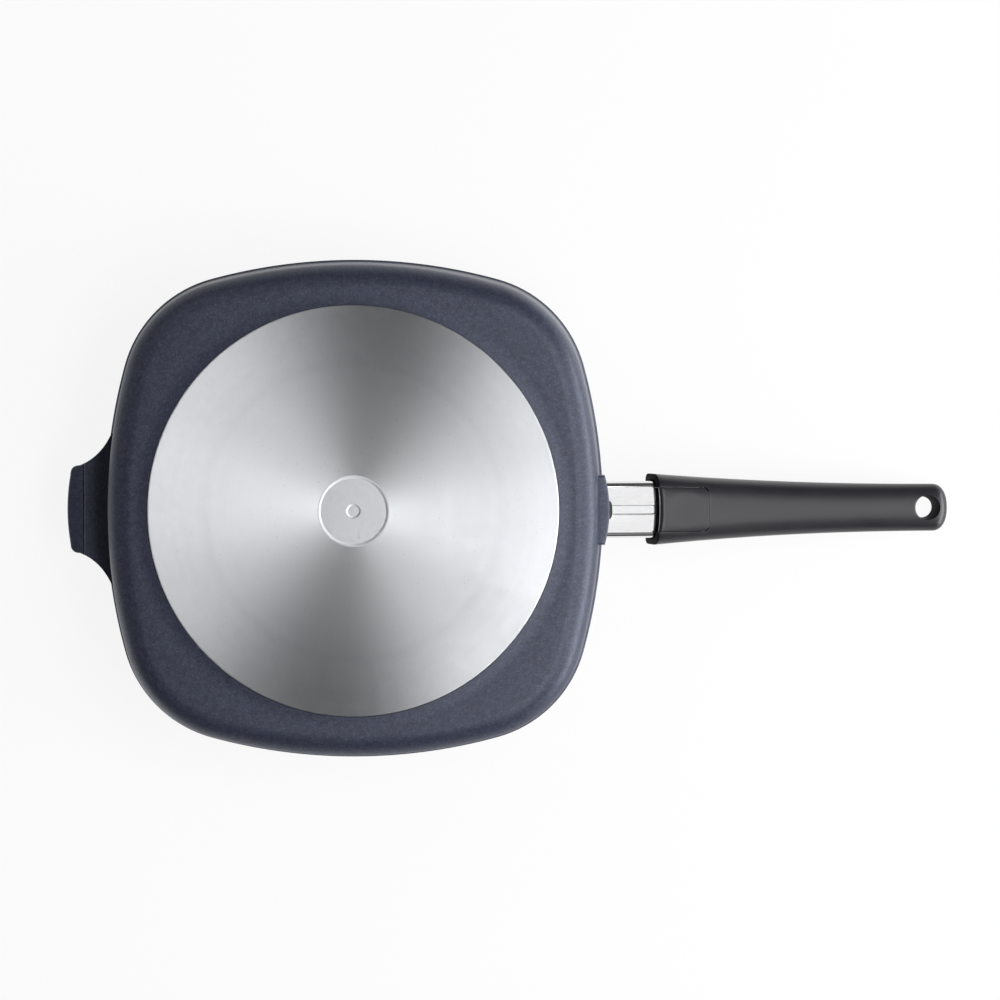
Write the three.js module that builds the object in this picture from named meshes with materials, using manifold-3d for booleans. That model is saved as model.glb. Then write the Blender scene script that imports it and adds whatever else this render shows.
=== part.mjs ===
// Square cast frying pan with a pull-off handle. Millimetres, +Z up, origin at the centre of the base.
import * as THREE from 'three';
import { mergeVertices } from 'three/addons/utils/BufferGeometryUtils.js';
import Module from 'manifold-3d';

// Pan outline: four shallow side arcs joined by round corners
const RIM_WIDTH = 290;
const SIDE_ARC_RADIUS = 316;
const CORNER_RADIUS = 71.5;
const HALF_SIDE_STEPS = 6;
const CORNER_STEPS = 6;
const BEND_STEPS = 5;

// Pan section: an inset is measured inwards from the outermost edge of the rim
const PAN_HEIGHT = 52;
const WALL = 4.2;
const FLOOR = 8;
const UNDERSIDE_INSET = 17.5;
const WALL_FOOT_INSET = 5.2;
const WALL_FOOT_HEIGHT = 15;
const WALL_TOP_INSET = 3.9;
const LIP_HEIGHT = 8;
const LIP_EDGE = 3;
const LIP_ROUND = 1.2;
const RIM_BAND = 5;
const INSIDE_RADIUS = 12;

// Turned base
const LAND_INSET = 27;
const LAND_PROUD = 1;
const STAMP_DIAMETER = 40;
const STAMP_DEPTH = 0.6;
const STAMP_CHAMFER = 0.6;
const PIP_DIAMETER = 8.5;

// Helper lug
const LUG_REACH = 21.7;
const LUG_NECK_WIDTH = 51;
const LUG_ROOT_WIDTH = 88;
const LUG_FILLET_X = 2.2;
const LUG_FILLET_Y = 4.9;
const LUG_CORNER = 5.5;
const LUG_CROWN = 1.75;
const LUG_DROP = 6;
const LUG_THICKNESS = 8;
const LUG_LIP = 9.2;
const LUG_FINGER_DEPTH = 3;
const CAST_EDGE = 1.5;

// Handle boss
const BOSS_WIDTH = 40;
const BOSS_FRONT_RADIUS = 75;
const BOSS_PROUD = 2.5;
const BOSS_BELOW = 14;
const BOSS_ABOVE = 14;

// Stub: a folded steel sleeve round a screwed-on core
const STUB_DROP = 24;
const STUB_RISE_DEGREES = 14;
const STUB_WIDTH = 33;
const STUB_THICKNESS = 16;
const STUB_CORNER = 3.6;
const STUB_LENGTH = 57.6;
const SHEET = 1.2;
const SEAM_WIDTH = 4.65;
const SEAM_RECESS = 0.25;
const CORE_LENGTH = 32.6;
const SEAT_DEPTH = 4.3;
const GASKET = 1.1;
const NOSE_WIDTH = 10.8;
const NOSE_LENGTH = 3.8;
const NOSE_THICKNESS = 1.8;
const NOSE_CORNER = 2.2;
const RIB_CORNER = 1;

// Stub screws and washers
const STUB_SCREW_DIAMETER = 5;
const STUB_SCREW_SPACING = 15;
const STUB_SCREW_BITE = 5;
const STUB_HEAD_DIAMETER = 8.5;
const STUB_HEAD_HEIGHT = 4;
const STUB_SOCKET_WIDTH = 4;
const STUB_SOCKET_DEPTH = 2.4;
const WASHER_DIAMETER = 10;
const WASHER = 1;

// Grip
const MOUTH_GAP = 30.3;
const GRIP_LENGTH = 179.5;
const GRIP_STRAIGHT = 37;
const GRIP_BEND_DEGREES = 7;
const SIDE_WALL = 3.8;
const TOP_WALL = 4.5;
const BOTTOM_WALL = 7.4;
const TAIL_WIDTH = 27.7;
const TAIL_THICKNESS = 17;
const WIDTH_TAPER = 2.05;
const THICKNESS_TAPER = 1.1;
const TAIL_ROUND = 9;
const TAIL_ROUND_POWER = 2.3;
const MOUTH_TOP_SQUARENESS = 9;
const MOUTH_BOTTOM_SQUARENESS = 3.5;
const TAIL_SQUARENESS = 2.6;
const MOUTH_EDGE = 1;
const SOCKET_SPARE = 4;
const GRIP_SIDES = 40;
const GRIP_STATIONS = 18;
const TAIL_STATIONS = 6;
const EYE_INSET = 13.2;
const EYE_TOP_DIAMETER = 12.3;
const EYE_BOTTOM_DIAMETER = 14.6;
const EYE_ROUND = 1.2;

// Release lever
const LEVER_WIDTH = 25.6;
const LEVER_LENGTH = 30.2;
const LEVER_THICKNESS = 3.7;
const LEVER_SETBACK = 0.5;
const LEVER_FRONT_ARCH = 1.8;
const LEVER_REAR_CORNER = 2.5;
const DISH_LENGTH = 22;
const DISH_WIDTH = 13;
const DISH_DEPTH = 0.9;
const DISH_BULGE = 4;
const PIN_DIAMETER = 2;
const PIN_INSET = 2.6;
const PIN_DEPTH = 5.3;
const PIN_BEARING = 1.2;
const BARREL_DIAMETER = 4;
const HEEL_WIDTH = 16;
const HEEL_REACH = 2.8;
const HEEL_THICKNESS = 1.6;
const NUB_WIDTH = 3.6;
const NUB_LENGTH = 3.5;

// Catch spring and its screws
const LEAF = 0.8;
const LEAF_WIDTH = 12;
const LEAF_LIFT = 0.4;
const TOOTH_FROM_MOUTH = 10.7;
const TOOTH_LENGTH = 4;
const TOOTH_WIDTH = 9;
const TOOTH_TIP = 0.3;
const TAB = 1.2;
const TAB_WIDTH = 19;
const TAB_ABOVE = 5.5;
const CATCH_SCREW_DIAMETER = 2.9;
const CATCH_SCREW_SPACING = 11.6;
const CATCH_SCREW_BITE = 9;
const CATCH_SCREW_HEIGHT = 1.5;
const CATCH_HEAD_DIAMETER = 5.6;
const CATCH_HEAD_HEIGHT = 2;
const CATCH_CROSS_LENGTH = 3.6;
const CATCH_CROSS_WIDTH = 1;
const CATCH_CROSS_DEPTH = 1.2;
const HEAD_CHAMFER = 0.5;

// Clearances
const FACE_GAP = 0.15;
const SEAT_FIT = 0.3;
const SLIDE_FIT = 0.4;
const LEVER_FIT = 0.25;
const HEEL_SWING = 0.7;
const BORE_FIT = 0.2;

// Mesh fineness, and a length that clears any piece
const ROUND_STEPS = 24;
const WELD_DISTANCE = 1e-4;
const BEYOND = 40;

const wasm = await Module();
wasm.setup();

const radians = THREE.MathUtils.degToRad;

// Closed solids from three.js geometry, and back again

function weld(geometry) {
  geometry.deleteAttribute('normal');
  geometry.deleteAttribute('uv');
  const welded = mergeVertices(geometry, WELD_DISTANCE);
  const kept = [];
  const index = welded.index.array;
  for (let i = 0; i < index.length; i += 3) {
    const [a, b, c] = [index[i], index[i + 1], index[i + 2]];
    if (a !== b && b !== c && c !== a) kept.push(a, b, c);
  }
  welded.setIndex(kept);
  return welded;
}

function solid(geometry) {
  const welded = weld(geometry);
  const vertProperties = new Float32Array(welded.attributes.position.array);
  const triVerts = new Uint32Array(welded.index.array);
  return new wasm.Manifold(new wasm.Mesh({ numProp: 3, vertProperties, triVerts }));
}

function surface(body) {
  const mesh = body.getMesh();
  const geometry = new THREE.BufferGeometry();
  geometry.setAttribute('position', new THREE.BufferAttribute(mesh.vertProperties, 3));
  geometry.setIndex(new THREE.BufferAttribute(mesh.triVerts, 1));
  return geometry;
}

// A closed skin through rings of equal point count, capped at both ends by a centre point
function skin(rings, firstCentre, lastCentre) {
  const count = rings[0].length;
  const points = [firstCentre, ...rings.flat(), lastCentre];
  const faces = [];
  const at = (ring, i) => 1 + ring * count + (i % count);
  const end = points.length - 1;
  const top = rings.length - 1;
  for (let i = 0; i < count; i += 1) {
    faces.push(0, at(0, i + 1), at(0, i));
    for (let ring = 0; ring < top; ring += 1) {
      faces.push(at(ring, i), at(ring, i + 1), at(ring + 1, i + 1));
      faces.push(at(ring, i), at(ring + 1, i + 1), at(ring + 1, i));
    }
    faces.push(at(top, i), at(top, i + 1), end);
  }
  const geometry = new THREE.BufferGeometry();
  geometry.setAttribute('position', new THREE.Float32BufferAttribute(points.flat(), 3));
  geometry.setIndex(faces);
  return solid(geometry);
}

function block(low, high) {
  const size = high.map((value, axis) => value - low[axis]);
  const middle = high.map((value, axis) => (value + low[axis]) / 2);
  return solid(new THREE.BoxGeometry(...size).translate(...middle));
}

// A shape drawn in X and Y, extruded from one height to another
function prismZ(shape, low, high) {
  const geometry = new THREE.ExtrudeGeometry(shape, {
    depth: high - low,
    curveSegments: ROUND_STEPS / 4,
    bevelEnabled: false,
  });
  return solid(geometry.translate(0, 0, low));
}

// Points of a counter-clockwise outline moved inwards along the mean normal of their two edges
function shrunk(points, distance) {
  return points.map((point, i) => {
    const before = points[(i + points.length - 1) % points.length];
    const after = points[(i + 1) % points.length];
    const arriving = point.clone().sub(before).normalize();
    const leaving = after.clone().sub(point).normalize();
    const scale = distance / (1 + arriving.dot(leaving));
    const x = point.x - (arriving.y + leaving.y) * scale;
    const y = point.y + (arriving.x + leaving.x) * scale;
    return [x, y];
  });
}

// A plate of that outline with rounded upper and lower edges, seen from a point inside it
function roundedPlate(shape, low, high, edge, insideX) {
  const points = shape.getPoints(ROUND_STEPS / 4);
  const rings = [];
  for (const [end, side] of [[low, 1], [high, -1]]) {
    const half = [0, Math.PI / 4, Math.PI / 2].map((angle) => {
      const z = end + side * edge * (1 - Math.cos(angle));
      return shrunk(points, edge * (1 - Math.sin(angle))).map(([x, y]) => [x, y, z]);
    });
    rings.push(...(side > 0 ? half : half.reverse()));
  }
  return skin(rings, [insideX, 0, low], [insideX, 0, high]);
}

// A shape drawn in Y and Z, extruded along X
function prismX(shape, start, finish) {
  const geometry = new THREE.ExtrudeGeometry(shape, {
    depth: finish - start,
    curveSegments: ROUND_STEPS / 4,
    bevelEnabled: false,
  });
  const turn = new THREE.Matrix4().makeBasis(
    new THREE.Vector3(0, 1, 0),
    new THREE.Vector3(0, 0, 1),
    new THREE.Vector3(1, 0, 0),
  );
  return solid(geometry.applyMatrix4(turn).translate(start, 0, 0));
}

function roundedRectangle(width, height, radius) {
  const shape = new THREE.Shape();
  const x = width / 2 - radius;
  const y = height / 2 - radius;
  shape.absarc(x, y, radius, 0, Math.PI / 2);
  shape.absarc(-x, y, radius, Math.PI / 2, Math.PI);
  shape.absarc(-x, -y, radius, Math.PI, 1.5 * Math.PI);
  shape.absarc(x, -y, radius, 1.5 * Math.PI, 2 * Math.PI);
  return shape;
}

function rodX(diameter, start, finish, y, z) {
  const rod = new THREE.CylinderGeometry(diameter / 2, diameter / 2, finish - start, ROUND_STEPS);
  return solid(rod.rotateZ(-Math.PI / 2).translate((start + finish) / 2, y, z));
}

function rodY(diameter, length, x, z) {
  const rod = new THREE.CylinderGeometry(diameter / 2, diameter / 2, length, ROUND_STEPS);
  return solid(rod.translate(x, 0, z));
}

// A turned piece from pairs of radius and height, with its axis along Y
function turned(pairs) {
  const profile = pairs.map(([radius, height]) => new THREE.Vector2(radius, height));
  return new THREE.LatheGeometry(profile, ROUND_STEPS);
}

// Pan outline at an inset: every inset shares the arc centres of the rim
const sideCentre = SIDE_ARC_RADIUS - RIM_WIDTH / 2;
const centreReach = SIDE_ARC_RADIUS - CORNER_RADIUS;
const cornerCentre = (Math.sqrt(2 * centreReach ** 2 - sideCentre ** 2) - sideCentre) / 2;
const sideSweep = Math.atan2(cornerCentre, cornerCentre + sideCentre);

function outline(inset) {
  const side = SIDE_ARC_RADIUS - inset;
  const corner = CORNER_RADIUS - inset;
  const quarter = [];
  for (let i = 0; i < HALF_SIDE_STEPS; i += 1) {
    const angle = (sideSweep * i) / HALF_SIDE_STEPS;
    quarter.push([side * Math.cos(angle) - sideCentre, side * Math.sin(angle)]);
  }
  for (let i = 0; i < CORNER_STEPS; i += 1) {
    const angle = sideSweep + ((Math.PI / 2 - 2 * sideSweep) * i) / CORNER_STEPS;
    quarter.push([cornerCentre + corner * Math.cos(angle), cornerCentre + corner * Math.sin(angle)]);
  }
  for (let i = HALF_SIDE_STEPS; i > 0; i -= 1) {
    const angle = (sideSweep * i) / HALF_SIDE_STEPS;
    quarter.push([side * Math.sin(angle), side * Math.cos(angle) - sideCentre]);
  }
  const half = quarter.concat(quarter.map(([x, y]) => [-y, x]));
  return half.concat(half.map(([x, y]) => [-x, -y]));
}

const bearings = outline(0).map(([x, y]) => Math.atan2(y, x));
const circleRing = (radius, z) => bearings.map((a) => [radius * Math.cos(a), radius * Math.sin(a), z]);
const outlineRing = (inset, z) => outline(inset).map(([x, y]) => [x, y, z]);

// Rings of a quarter bend: the inset follows the cosine or the sine of the swept angle
function bend(steps, section) {
  const rings = [];
  for (let i = 1; i <= steps; i += 1) {
    const angle = (Math.PI / 2) * (i / steps);
    const [inset, z] = section(Math.cos(angle), Math.sin(angle));
    rings.push(outlineRing(inset, z));
  }
  return rings;
}

const rimEdge = RIM_WIDTH / 2;
const landRadius = rimEdge - LAND_INSET;
const stampRadius = STAMP_DIAMETER / 2;
const pipRadius = PIP_DIAMETER / 2;
const floorTop = LAND_PROUD + FLOOR;
const wallTop = PAN_HEIGHT - LIP_HEIGHT;
const insideTopInset = WALL_TOP_INSET + WALL;
const insideFootInset = WALL_FOOT_INSET + WALL;
const lipUnder = PAN_HEIGHT - LIP_EDGE;

function panBowl() {
  const rings = [
    circleRing(pipRadius, 0),
    circleRing(pipRadius + STAMP_CHAMFER, STAMP_DEPTH),
    circleRing(stampRadius - STAMP_CHAMFER, STAMP_DEPTH),
    circleRing(stampRadius, 0),
    circleRing(landRadius, 0),
    circleRing(landRadius, LAND_PROUD),
    outlineRing(UNDERSIDE_INSET, LAND_PROUD),
    ...bend(BEND_STEPS, (cos, sin) => [
      UNDERSIDE_INSET - (UNDERSIDE_INSET - WALL_FOOT_INSET) * sin,
      WALL_FOOT_HEIGHT - (WALL_FOOT_HEIGHT - LAND_PROUD) * cos,
    ]),
    outlineRing(WALL_TOP_INSET, wallTop),
    ...bend(BEND_STEPS, (cos, sin) => [WALL_TOP_INSET * cos, wallTop + (lipUnder - wallTop) * sin]),
    outlineRing(0, PAN_HEIGHT - LIP_ROUND),
    outlineRing(LIP_ROUND, PAN_HEIGHT),
    outlineRing(RIM_BAND, PAN_HEIGHT),
    ...bend(BEND_STEPS, (cos, sin) => [
      RIM_BAND + (insideTopInset - RIM_BAND) * sin,
      wallTop + LIP_HEIGHT * cos,
    ]),
    outlineRing(insideFootInset, floorTop + INSIDE_RADIUS),
    ...bend(BEND_STEPS, (cos, sin) => [
      insideFootInset + INSIDE_RADIUS * (1 - cos),
      floorTop + INSIDE_RADIUS * (1 - sin),
    ]),
  ];
  return skin(rings, [0, 0, 0], [0, 0, floorTop]);
}

// Helper lug: a flat ear on the left side with a finger groove across its underside
const insideWall = WALL_TOP_INSET + WALL / 2 + CAST_EDGE / 2;

function helperLug() {
  const top = PAN_HEIGHT - LUG_DROP;
  const bottom = top - LUG_THICKNESS;
  const outer = -rimEdge - LUG_REACH;
  const tip = outer + LUG_CROWN;
  const neck = LUG_NECK_WIDTH / 2;
  const root = LUG_ROOT_WIDTH / 2;
  const fillet = [-rimEdge - LUG_FILLET_X, neck + LUG_FILLET_Y];
  const rootRadius = SIDE_ARC_RADIUS - insideWall;
  const rootAngle = Math.asin(root / rootRadius);
  const shape = new THREE.Shape();
  shape.absarc(sideCentre, 0, rootRadius, Math.PI + rootAngle, Math.PI - rootAngle, true);
  shape.lineTo(-rimEdge + WALL_TOP_INSET, root);
  shape.quadraticCurveTo(fillet[0], fillet[1], tip + LUG_CORNER, neck);
  shape.quadraticCurveTo(tip, neck, tip, neck - LUG_CORNER);
  shape.quadraticCurveTo(outer - LUG_CROWN, 0, tip, LUG_CORNER - neck);
  shape.quadraticCurveTo(tip, -neck, tip + LUG_CORNER, -neck);
  shape.quadraticCurveTo(fillet[0], -fillet[1], -rimEdge + WALL_TOP_INSET, -root);
  const groove = block(
    [outer + LUG_LIP, -LUG_ROOT_WIDTH, bottom - BEYOND],
    [0, LUG_ROOT_WIDTH, bottom + LUG_FINGER_DEPTH],
  );
  return roundedPlate(shape, bottom, top, CAST_EDGE, -rimEdge).subtract(groove);
}

// Stub frame: X runs out along the stub, Z is square to it, and the origin is the seat in the boss
const bossFront = rimEdge + BOSS_PROUD;
const stubHeight = PAN_HEIGHT - STUB_DROP;
const stubFrame = new THREE.Matrix4().makeRotationY(-radians(STUB_RISE_DEGREES));
stubFrame.setPosition(bossFront - SEAT_DEPTH, 0, stubHeight);
const inPanFrame = (body) => solid(surface(body).applyMatrix4(stubFrame));

function handleBoss() {
  const half = BOSS_WIDTH / 2;
  const root = rimEdge - insideWall - CAST_EDGE;
  const frontAngle = Math.asin(half / BOSS_FRONT_RADIUS);
  const shape = new THREE.Shape();
  shape.moveTo(root, half);
  shape.lineTo(root, -half);
  shape.absarc(bossFront - BOSS_FRONT_RADIUS, 0, BOSS_FRONT_RADIUS, -frontAngle, frontAngle);
  const [low, high] = [stubHeight - BOSS_BELOW, stubHeight + BOSS_ABOVE];
  return roundedPlate(shape, low, high, CAST_EDGE, root + CAST_EDGE);
}

const halfStub = STUB_THICKNESS / 2;
const sleeveStart = FACE_GAP;
const stubStart = GASKET + 2 * FACE_GAP;
const stubEnd = stubStart + STUB_LENGTH;
const coreEnd = stubStart + CORE_LENGTH;
const stubScrewSides = [STUB_SCREW_SPACING / 2, -STUB_SCREW_SPACING / 2];
const stubBore = STUB_SCREW_DIAMETER + 2 * BORE_FIT;

const stubSection = (grow) => roundedRectangle(
  STUB_WIDTH + 2 * grow,
  STUB_THICKNESS + 2 * grow,
  STUB_CORNER + grow,
);

function noseShape(grow) {
  const half = NOSE_WIDTH / 2 + grow;
  const end = NOSE_LENGTH + grow;
  const shape = new THREE.Shape();
  shape.moveTo(FACE_GAP - grow, half);
  shape.lineTo(FACE_GAP - grow, -half);
  shape.lineTo(end - NOSE_CORNER, -half);
  shape.quadraticCurveTo(end, -half, end, 0);
  shape.quadraticCurveTo(end, half, end - NOSE_CORNER, half);
  return shape;
}

const noseTop = -halfStub - SEAT_FIT;
const noseBottom = noseTop - NOSE_THICKNESS;
const insideSleeve = -SHEET - SEAT_FIT;
const insideSeam = SEAM_WIDTH / 2 - SEAT_FIT;

// Bores for both stub screws
function screwBores(start, finish) {
  const [left, right] = stubScrewSides.map((side) => rodX(stubBore, start, finish, side, 0));
  return left.add(right);
}

function panBody() {
  const seat = prismX(stubSection(SEAT_FIT), 0, BEYOND);
  const noseRoom = prismZ(noseShape(SEAT_FIT), noseBottom - SEAT_FIT, 0);
  const boss = handleBoss().subtract(inPanFrame(seat.add(noseRoom)));
  const tapped = inPanFrame(screwBores(-STUB_SCREW_BITE - SEAT_FIT, SEAT_DEPTH));
  return panBowl().add(helperLug()).add(boss).subtract(tapped);
}

// Gasket: a plate inside the sleeve's end, with a nose that reaches out through the seam
function bossGasket() {
  const plate = prismX(stubSection(insideSleeve), FACE_GAP, FACE_GAP + GASKET);
  const web = block([FACE_GAP, -insideSeam, noseBottom], [FACE_GAP + GASKET, insideSeam, 0]);
  const nose = prismZ(noseShape(0), noseBottom, noseTop);
  return plate.add(web).add(nose).subtract(screwBores(-BEYOND, BEYOND));
}

// Grip body: rings square to a centreline that runs straight over the socket and then bends down
const socketEnd = stubEnd + SOCKET_SPARE;
const mouthTop = halfStub + SLIDE_FIT + TOP_WALL;
const mouthBottom = halfStub + SLIDE_FIT + BOTTOM_WALL;
const mouthHalfWidth = STUB_WIDTH / 2 + SLIDE_FIT + SIDE_WALL;
const bendLength = GRIP_LENGTH - GRIP_STRAIGHT;
const bendRadius = bendLength / radians(GRIP_BEND_DEGREES);

function centreline(distance) {
  const bent = Math.max(distance - GRIP_STRAIGHT, 0);
  const angle = bent / bendRadius;
  const x = MOUTH_GAP + Math.min(distance, GRIP_STRAIGHT) + bendRadius * Math.sin(angle);
  const z = -bendRadius * (1 - Math.cos(angle));
  return { x, z, angle };
}

const power = (value, exponent) => Math.sign(value) * Math.abs(value) ** exponent;

function gripRing(distance, inset, shrink) {
  const { x, z, angle } = centreline(distance);
  const along = Math.min(distance / (GRIP_LENGTH - TAIL_ROUND), 1);
  const flare = (1 - along) ** WIDTH_TAPER;
  const deepening = (1 - along) ** THICKNESS_TAPER;
  const mix = (tail, mouth, share) => (tail + (mouth - tail) * share - inset) * shrink;
  const width = mix(TAIL_WIDTH / 2, mouthHalfWidth, flare);
  const top = mix(TAIL_THICKNESS / 2, mouthTop, deepening);
  const bottom = mix(TAIL_THICKNESS / 2, mouthBottom, deepening);
  const roundingFrom = (mouth) => 2 / (TAIL_SQUARENESS + (mouth - TAIL_SQUARENESS) * flare);
  const ring = [];
  for (let i = 0; i < GRIP_SIDES; i += 1) {
    const turn = (2 * Math.PI * i) / GRIP_SIDES;
    const upper = Math.sin(turn) > 0;
    const rounding = roundingFrom(upper ? MOUTH_TOP_SQUARENESS : MOUTH_BOTTOM_SQUARENESS);
    const across = width * power(Math.cos(turn), rounding);
    const up = (upper ? top : bottom) * power(Math.sin(turn), rounding);
    ring.push([x + up * Math.sin(angle), across, z + up * Math.cos(angle)]);
  }
  return ring;
}

function gripForm() {
  const tailStart = GRIP_LENGTH - TAIL_ROUND;
  const rings = [gripRing(0, MOUTH_EDGE, 1), gripRing(MOUTH_EDGE / 3, MOUTH_EDGE / 3, 1)];
  for (let i = 0; i <= GRIP_STATIONS; i += 1) {
    rings.push(gripRing(MOUTH_EDGE + ((tailStart - MOUTH_EDGE) * i) / GRIP_STATIONS, 0, 1));
  }
  for (let i = 1; i <= TAIL_STATIONS; i += 1) {
    const along = Math.sin((Math.PI / 2) * (i / (TAIL_STATIONS + 0.5)));
    const shrink = (1 - along ** TAIL_ROUND_POWER) ** (1 / TAIL_ROUND_POWER);
    rings.push(gripRing(tailStart + TAIL_ROUND * along, 0, shrink));
  }
  const tip = centreline(GRIP_LENGTH);
  return skin(rings, [MOUTH_GAP, 0, 0], [tip.x, 0, tip.z]);
}

// Hanging hole: a cone with rounded mouths, square to the grip's centreline
function hangingEye() {
  const { x, z, angle } = centreline(GRIP_LENGTH - EYE_INSET);
  const face = TAIL_THICKNESS / 2;
  const topRadius = EYE_TOP_DIAMETER / 2;
  const bottomRadius = EYE_BOTTOM_DIAMETER / 2;
  const cutter = turned([
    [0, -face - EYE_ROUND],
    [bottomRadius + EYE_ROUND, -face - EYE_ROUND],
    [bottomRadius + EYE_ROUND, -face],
    [bottomRadius, -face + EYE_ROUND],
    [topRadius, face - EYE_ROUND],
    [topRadius + EYE_ROUND, face],
    [topRadius + EYE_ROUND, face + EYE_ROUND],
    [0, face + EYE_ROUND],
  ]);
  return solid(cutter.rotateX(Math.PI / 2).rotateY(angle).translate(x, 0, z));
}

// Release lever: its outer face is the grip's own underside
const leverFront = MOUTH_GAP + LEVER_SETBACK;
const leverRear = leverFront + LEVER_LENGTH;
const leverTop = -mouthBottom + LEVER_THICKNESS;
const pinX = leverRear - PIN_INSET;
const pinZ = -mouthBottom + PIN_DEPTH;
const pinLength = LEVER_WIDTH + 2 * (LEVER_FIT + PIN_BEARING);
const toothFront = MOUTH_GAP + TOOTH_FROM_MOUTH;
const toothTip = -halfStub - TOOTH_TIP;
const heelEnd = leverRear + HEEL_REACH;

function leverShape(grow, front) {
  const half = LEVER_WIDTH / 2 + grow;
  const rear = leverRear + grow;
  const shape = new THREE.Shape();
  shape.moveTo(rear - LEVER_REAR_CORNER, -half);
  shape.lineTo(rear, -half + LEVER_REAR_CORNER);
  shape.lineTo(rear, half - LEVER_REAR_CORNER);
  shape.lineTo(rear - LEVER_REAR_CORNER, half);
  shape.lineTo(front, half);
  shape.quadraticCurveTo(front + 2 * LEVER_FRONT_ARCH, 0, front, -half);
  return shape;
}

// Finger dish: the cap of a flattened ball whose full height is set by its bulge
function fingerDish() {
  const drop = DISH_BULGE - 1;
  const spread = DISH_BULGE / Math.sqrt(DISH_BULGE ** 2 - drop ** 2);
  const middle = (leverFront + leverRear) / 2 + LEVER_FRONT_ARCH;
  const ball = new THREE.SphereGeometry(1, ROUND_STEPS, ROUND_STEPS / 2).rotateX(Math.PI / 2);
  ball.scale((spread * DISH_LENGTH) / 2, (spread * DISH_WIDTH) / 2, DISH_DEPTH * DISH_BULGE);
  return solid(ball.translate(middle, 0, -mouthBottom - DISH_DEPTH * drop));
}

function releaseLever(form) {
  const plan = leverShape(0, leverFront);
  const plate = form.intersect(prismZ(plan, -BEYOND, leverTop));
  const web = block(
    [pinX - BARREL_DIAMETER / 2, -LEVER_WIDTH / 2, leverTop - SEAT_FIT],
    [pinX + BARREL_DIAMETER / 2, LEVER_WIDTH / 2, pinZ],
  );
  const barrel = rodY(BARREL_DIAMETER, LEVER_WIDTH, pinX, pinZ)
    .add(web)
    .intersect(prismZ(plan, -BEYOND, 0));
  const nub = block(
    [toothFront, -NUB_WIDTH / 2, leverTop - LEVER_THICKNESS / 2],
    [toothFront + NUB_LENGTH, NUB_WIDTH / 2, toothTip - SEAT_FIT],
  );
  const heel = block(
    [pinX, -HEEL_WIDTH / 2, pinZ - HEEL_THICKNESS / 2],
    [heelEnd, HEEL_WIDTH / 2, pinZ + HEEL_THICKNESS / 2],
  );
  const bore = rodY(PIN_DIAMETER + 2 * BORE_FIT, 2 * BEYOND, pinX, pinZ);
  return plate.add(barrel).add(nub).add(heel).subtract(bore).subtract(fingerDish());
}

const catchScrewSides = [CATCH_SCREW_SPACING / 2, -CATCH_SCREW_SPACING / 2];
const catchBore = CATCH_SCREW_DIAMETER + 2 * BORE_FIT;

function handleGrip(form) {
  const socket = prismX(stubSection(SLIDE_FIT), MOUTH_GAP - BEYOND, socketEnd);
  const leverRoom = prismZ(leverShape(LEVER_FIT, MOUTH_GAP - BEYOND), -BEYOND, -halfStub);
  const heelRoom = block(
    [pinX, -HEEL_WIDTH / 2 - LEVER_FIT, pinZ - HEEL_THICKNESS / 2 - HEEL_SWING],
    [heelEnd + LEVER_FIT, HEEL_WIDTH / 2 + LEVER_FIT, pinZ + HEEL_THICKNESS / 2 + SEAT_FIT],
  );
  const pinBore = rodY(PIN_DIAMETER + 2 * BORE_FIT, pinLength + 2 * FACE_GAP, pinX, pinZ);
  let cut = socket.add(leverRoom).add(heelRoom).add(pinBore).add(hangingEye());
  for (const side of catchScrewSides) {
    const bottom = socketEnd + CATCH_SCREW_BITE;
    cut = cut.add(rodX(catchBore, stubEnd, bottom, side, CATCH_SCREW_HEIGHT));
  }
  return form.subtract(cut);
}

function leverPin() {
  return rodY(PIN_DIAMETER, pinLength, pinX, pinZ);
}

// Stub sleeve with its seam and the catch window, and the core inside it
function stubSleeve() {
  const tube = prismX(stubSection(0), sleeveStart, stubEnd);
  const hollow = prismX(stubSection(-SHEET), sleeveStart - BEYOND, stubEnd + BEYOND);
  const seam = block([0, -SEAM_WIDTH / 2, -STUB_THICKNESS], [stubEnd + BEYOND, SEAM_WIDTH / 2, 0]);
  const catchWindow = block(
    [toothFront - SLIDE_FIT, -TOOTH_WIDTH / 2 - SLIDE_FIT, -STUB_THICKNESS],
    [toothFront + TOOTH_LENGTH + SLIDE_FIT, TOOTH_WIDTH / 2 + SLIDE_FIT, 0],
  );
  return tube.subtract(hollow).subtract(seam).subtract(catchWindow);
}

function stubCore() {
  const bar = prismX(stubSection(insideSleeve), stubStart, coreEnd);
  const shape = new THREE.Shape();
  shape.moveTo(stubStart, insideSeam);
  shape.lineTo(stubStart, RIB_CORNER - insideSeam);
  shape.lineTo(stubStart + RIB_CORNER, -insideSeam);
  shape.lineTo(coreEnd, -insideSeam);
  shape.lineTo(coreEnd, insideSeam);
  const rib = prismZ(shape, -halfStub + SEAM_RECESS, 0);
  return bar.add(rib).subtract(screwBores(-BEYOND, BEYOND));
}

// Screws lie along X: a shank from its point to the head, and a recess in the head
function screw(shankDiameter, headDiameter, headHeight, point, seat, recess) {
  const shank = shankDiameter / 2;
  const head = headDiameter / 2;
  const form = solid(turned([
    [0, point],
    [shank / 2, point],
    [shank, point + shank / 2],
    [shank, seat],
    [head, seat],
    [head, seat + headHeight - HEAD_CHAMFER],
    [head - HEAD_CHAMFER, seat + headHeight],
    [0, seat + headHeight],
  ]).rotateZ(-Math.PI / 2));
  return form.subtract(recess);
}

const washerSeat = coreEnd + FACE_GAP;
const stubHeadSeat = washerSeat + WASHER + FACE_GAP;

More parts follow.
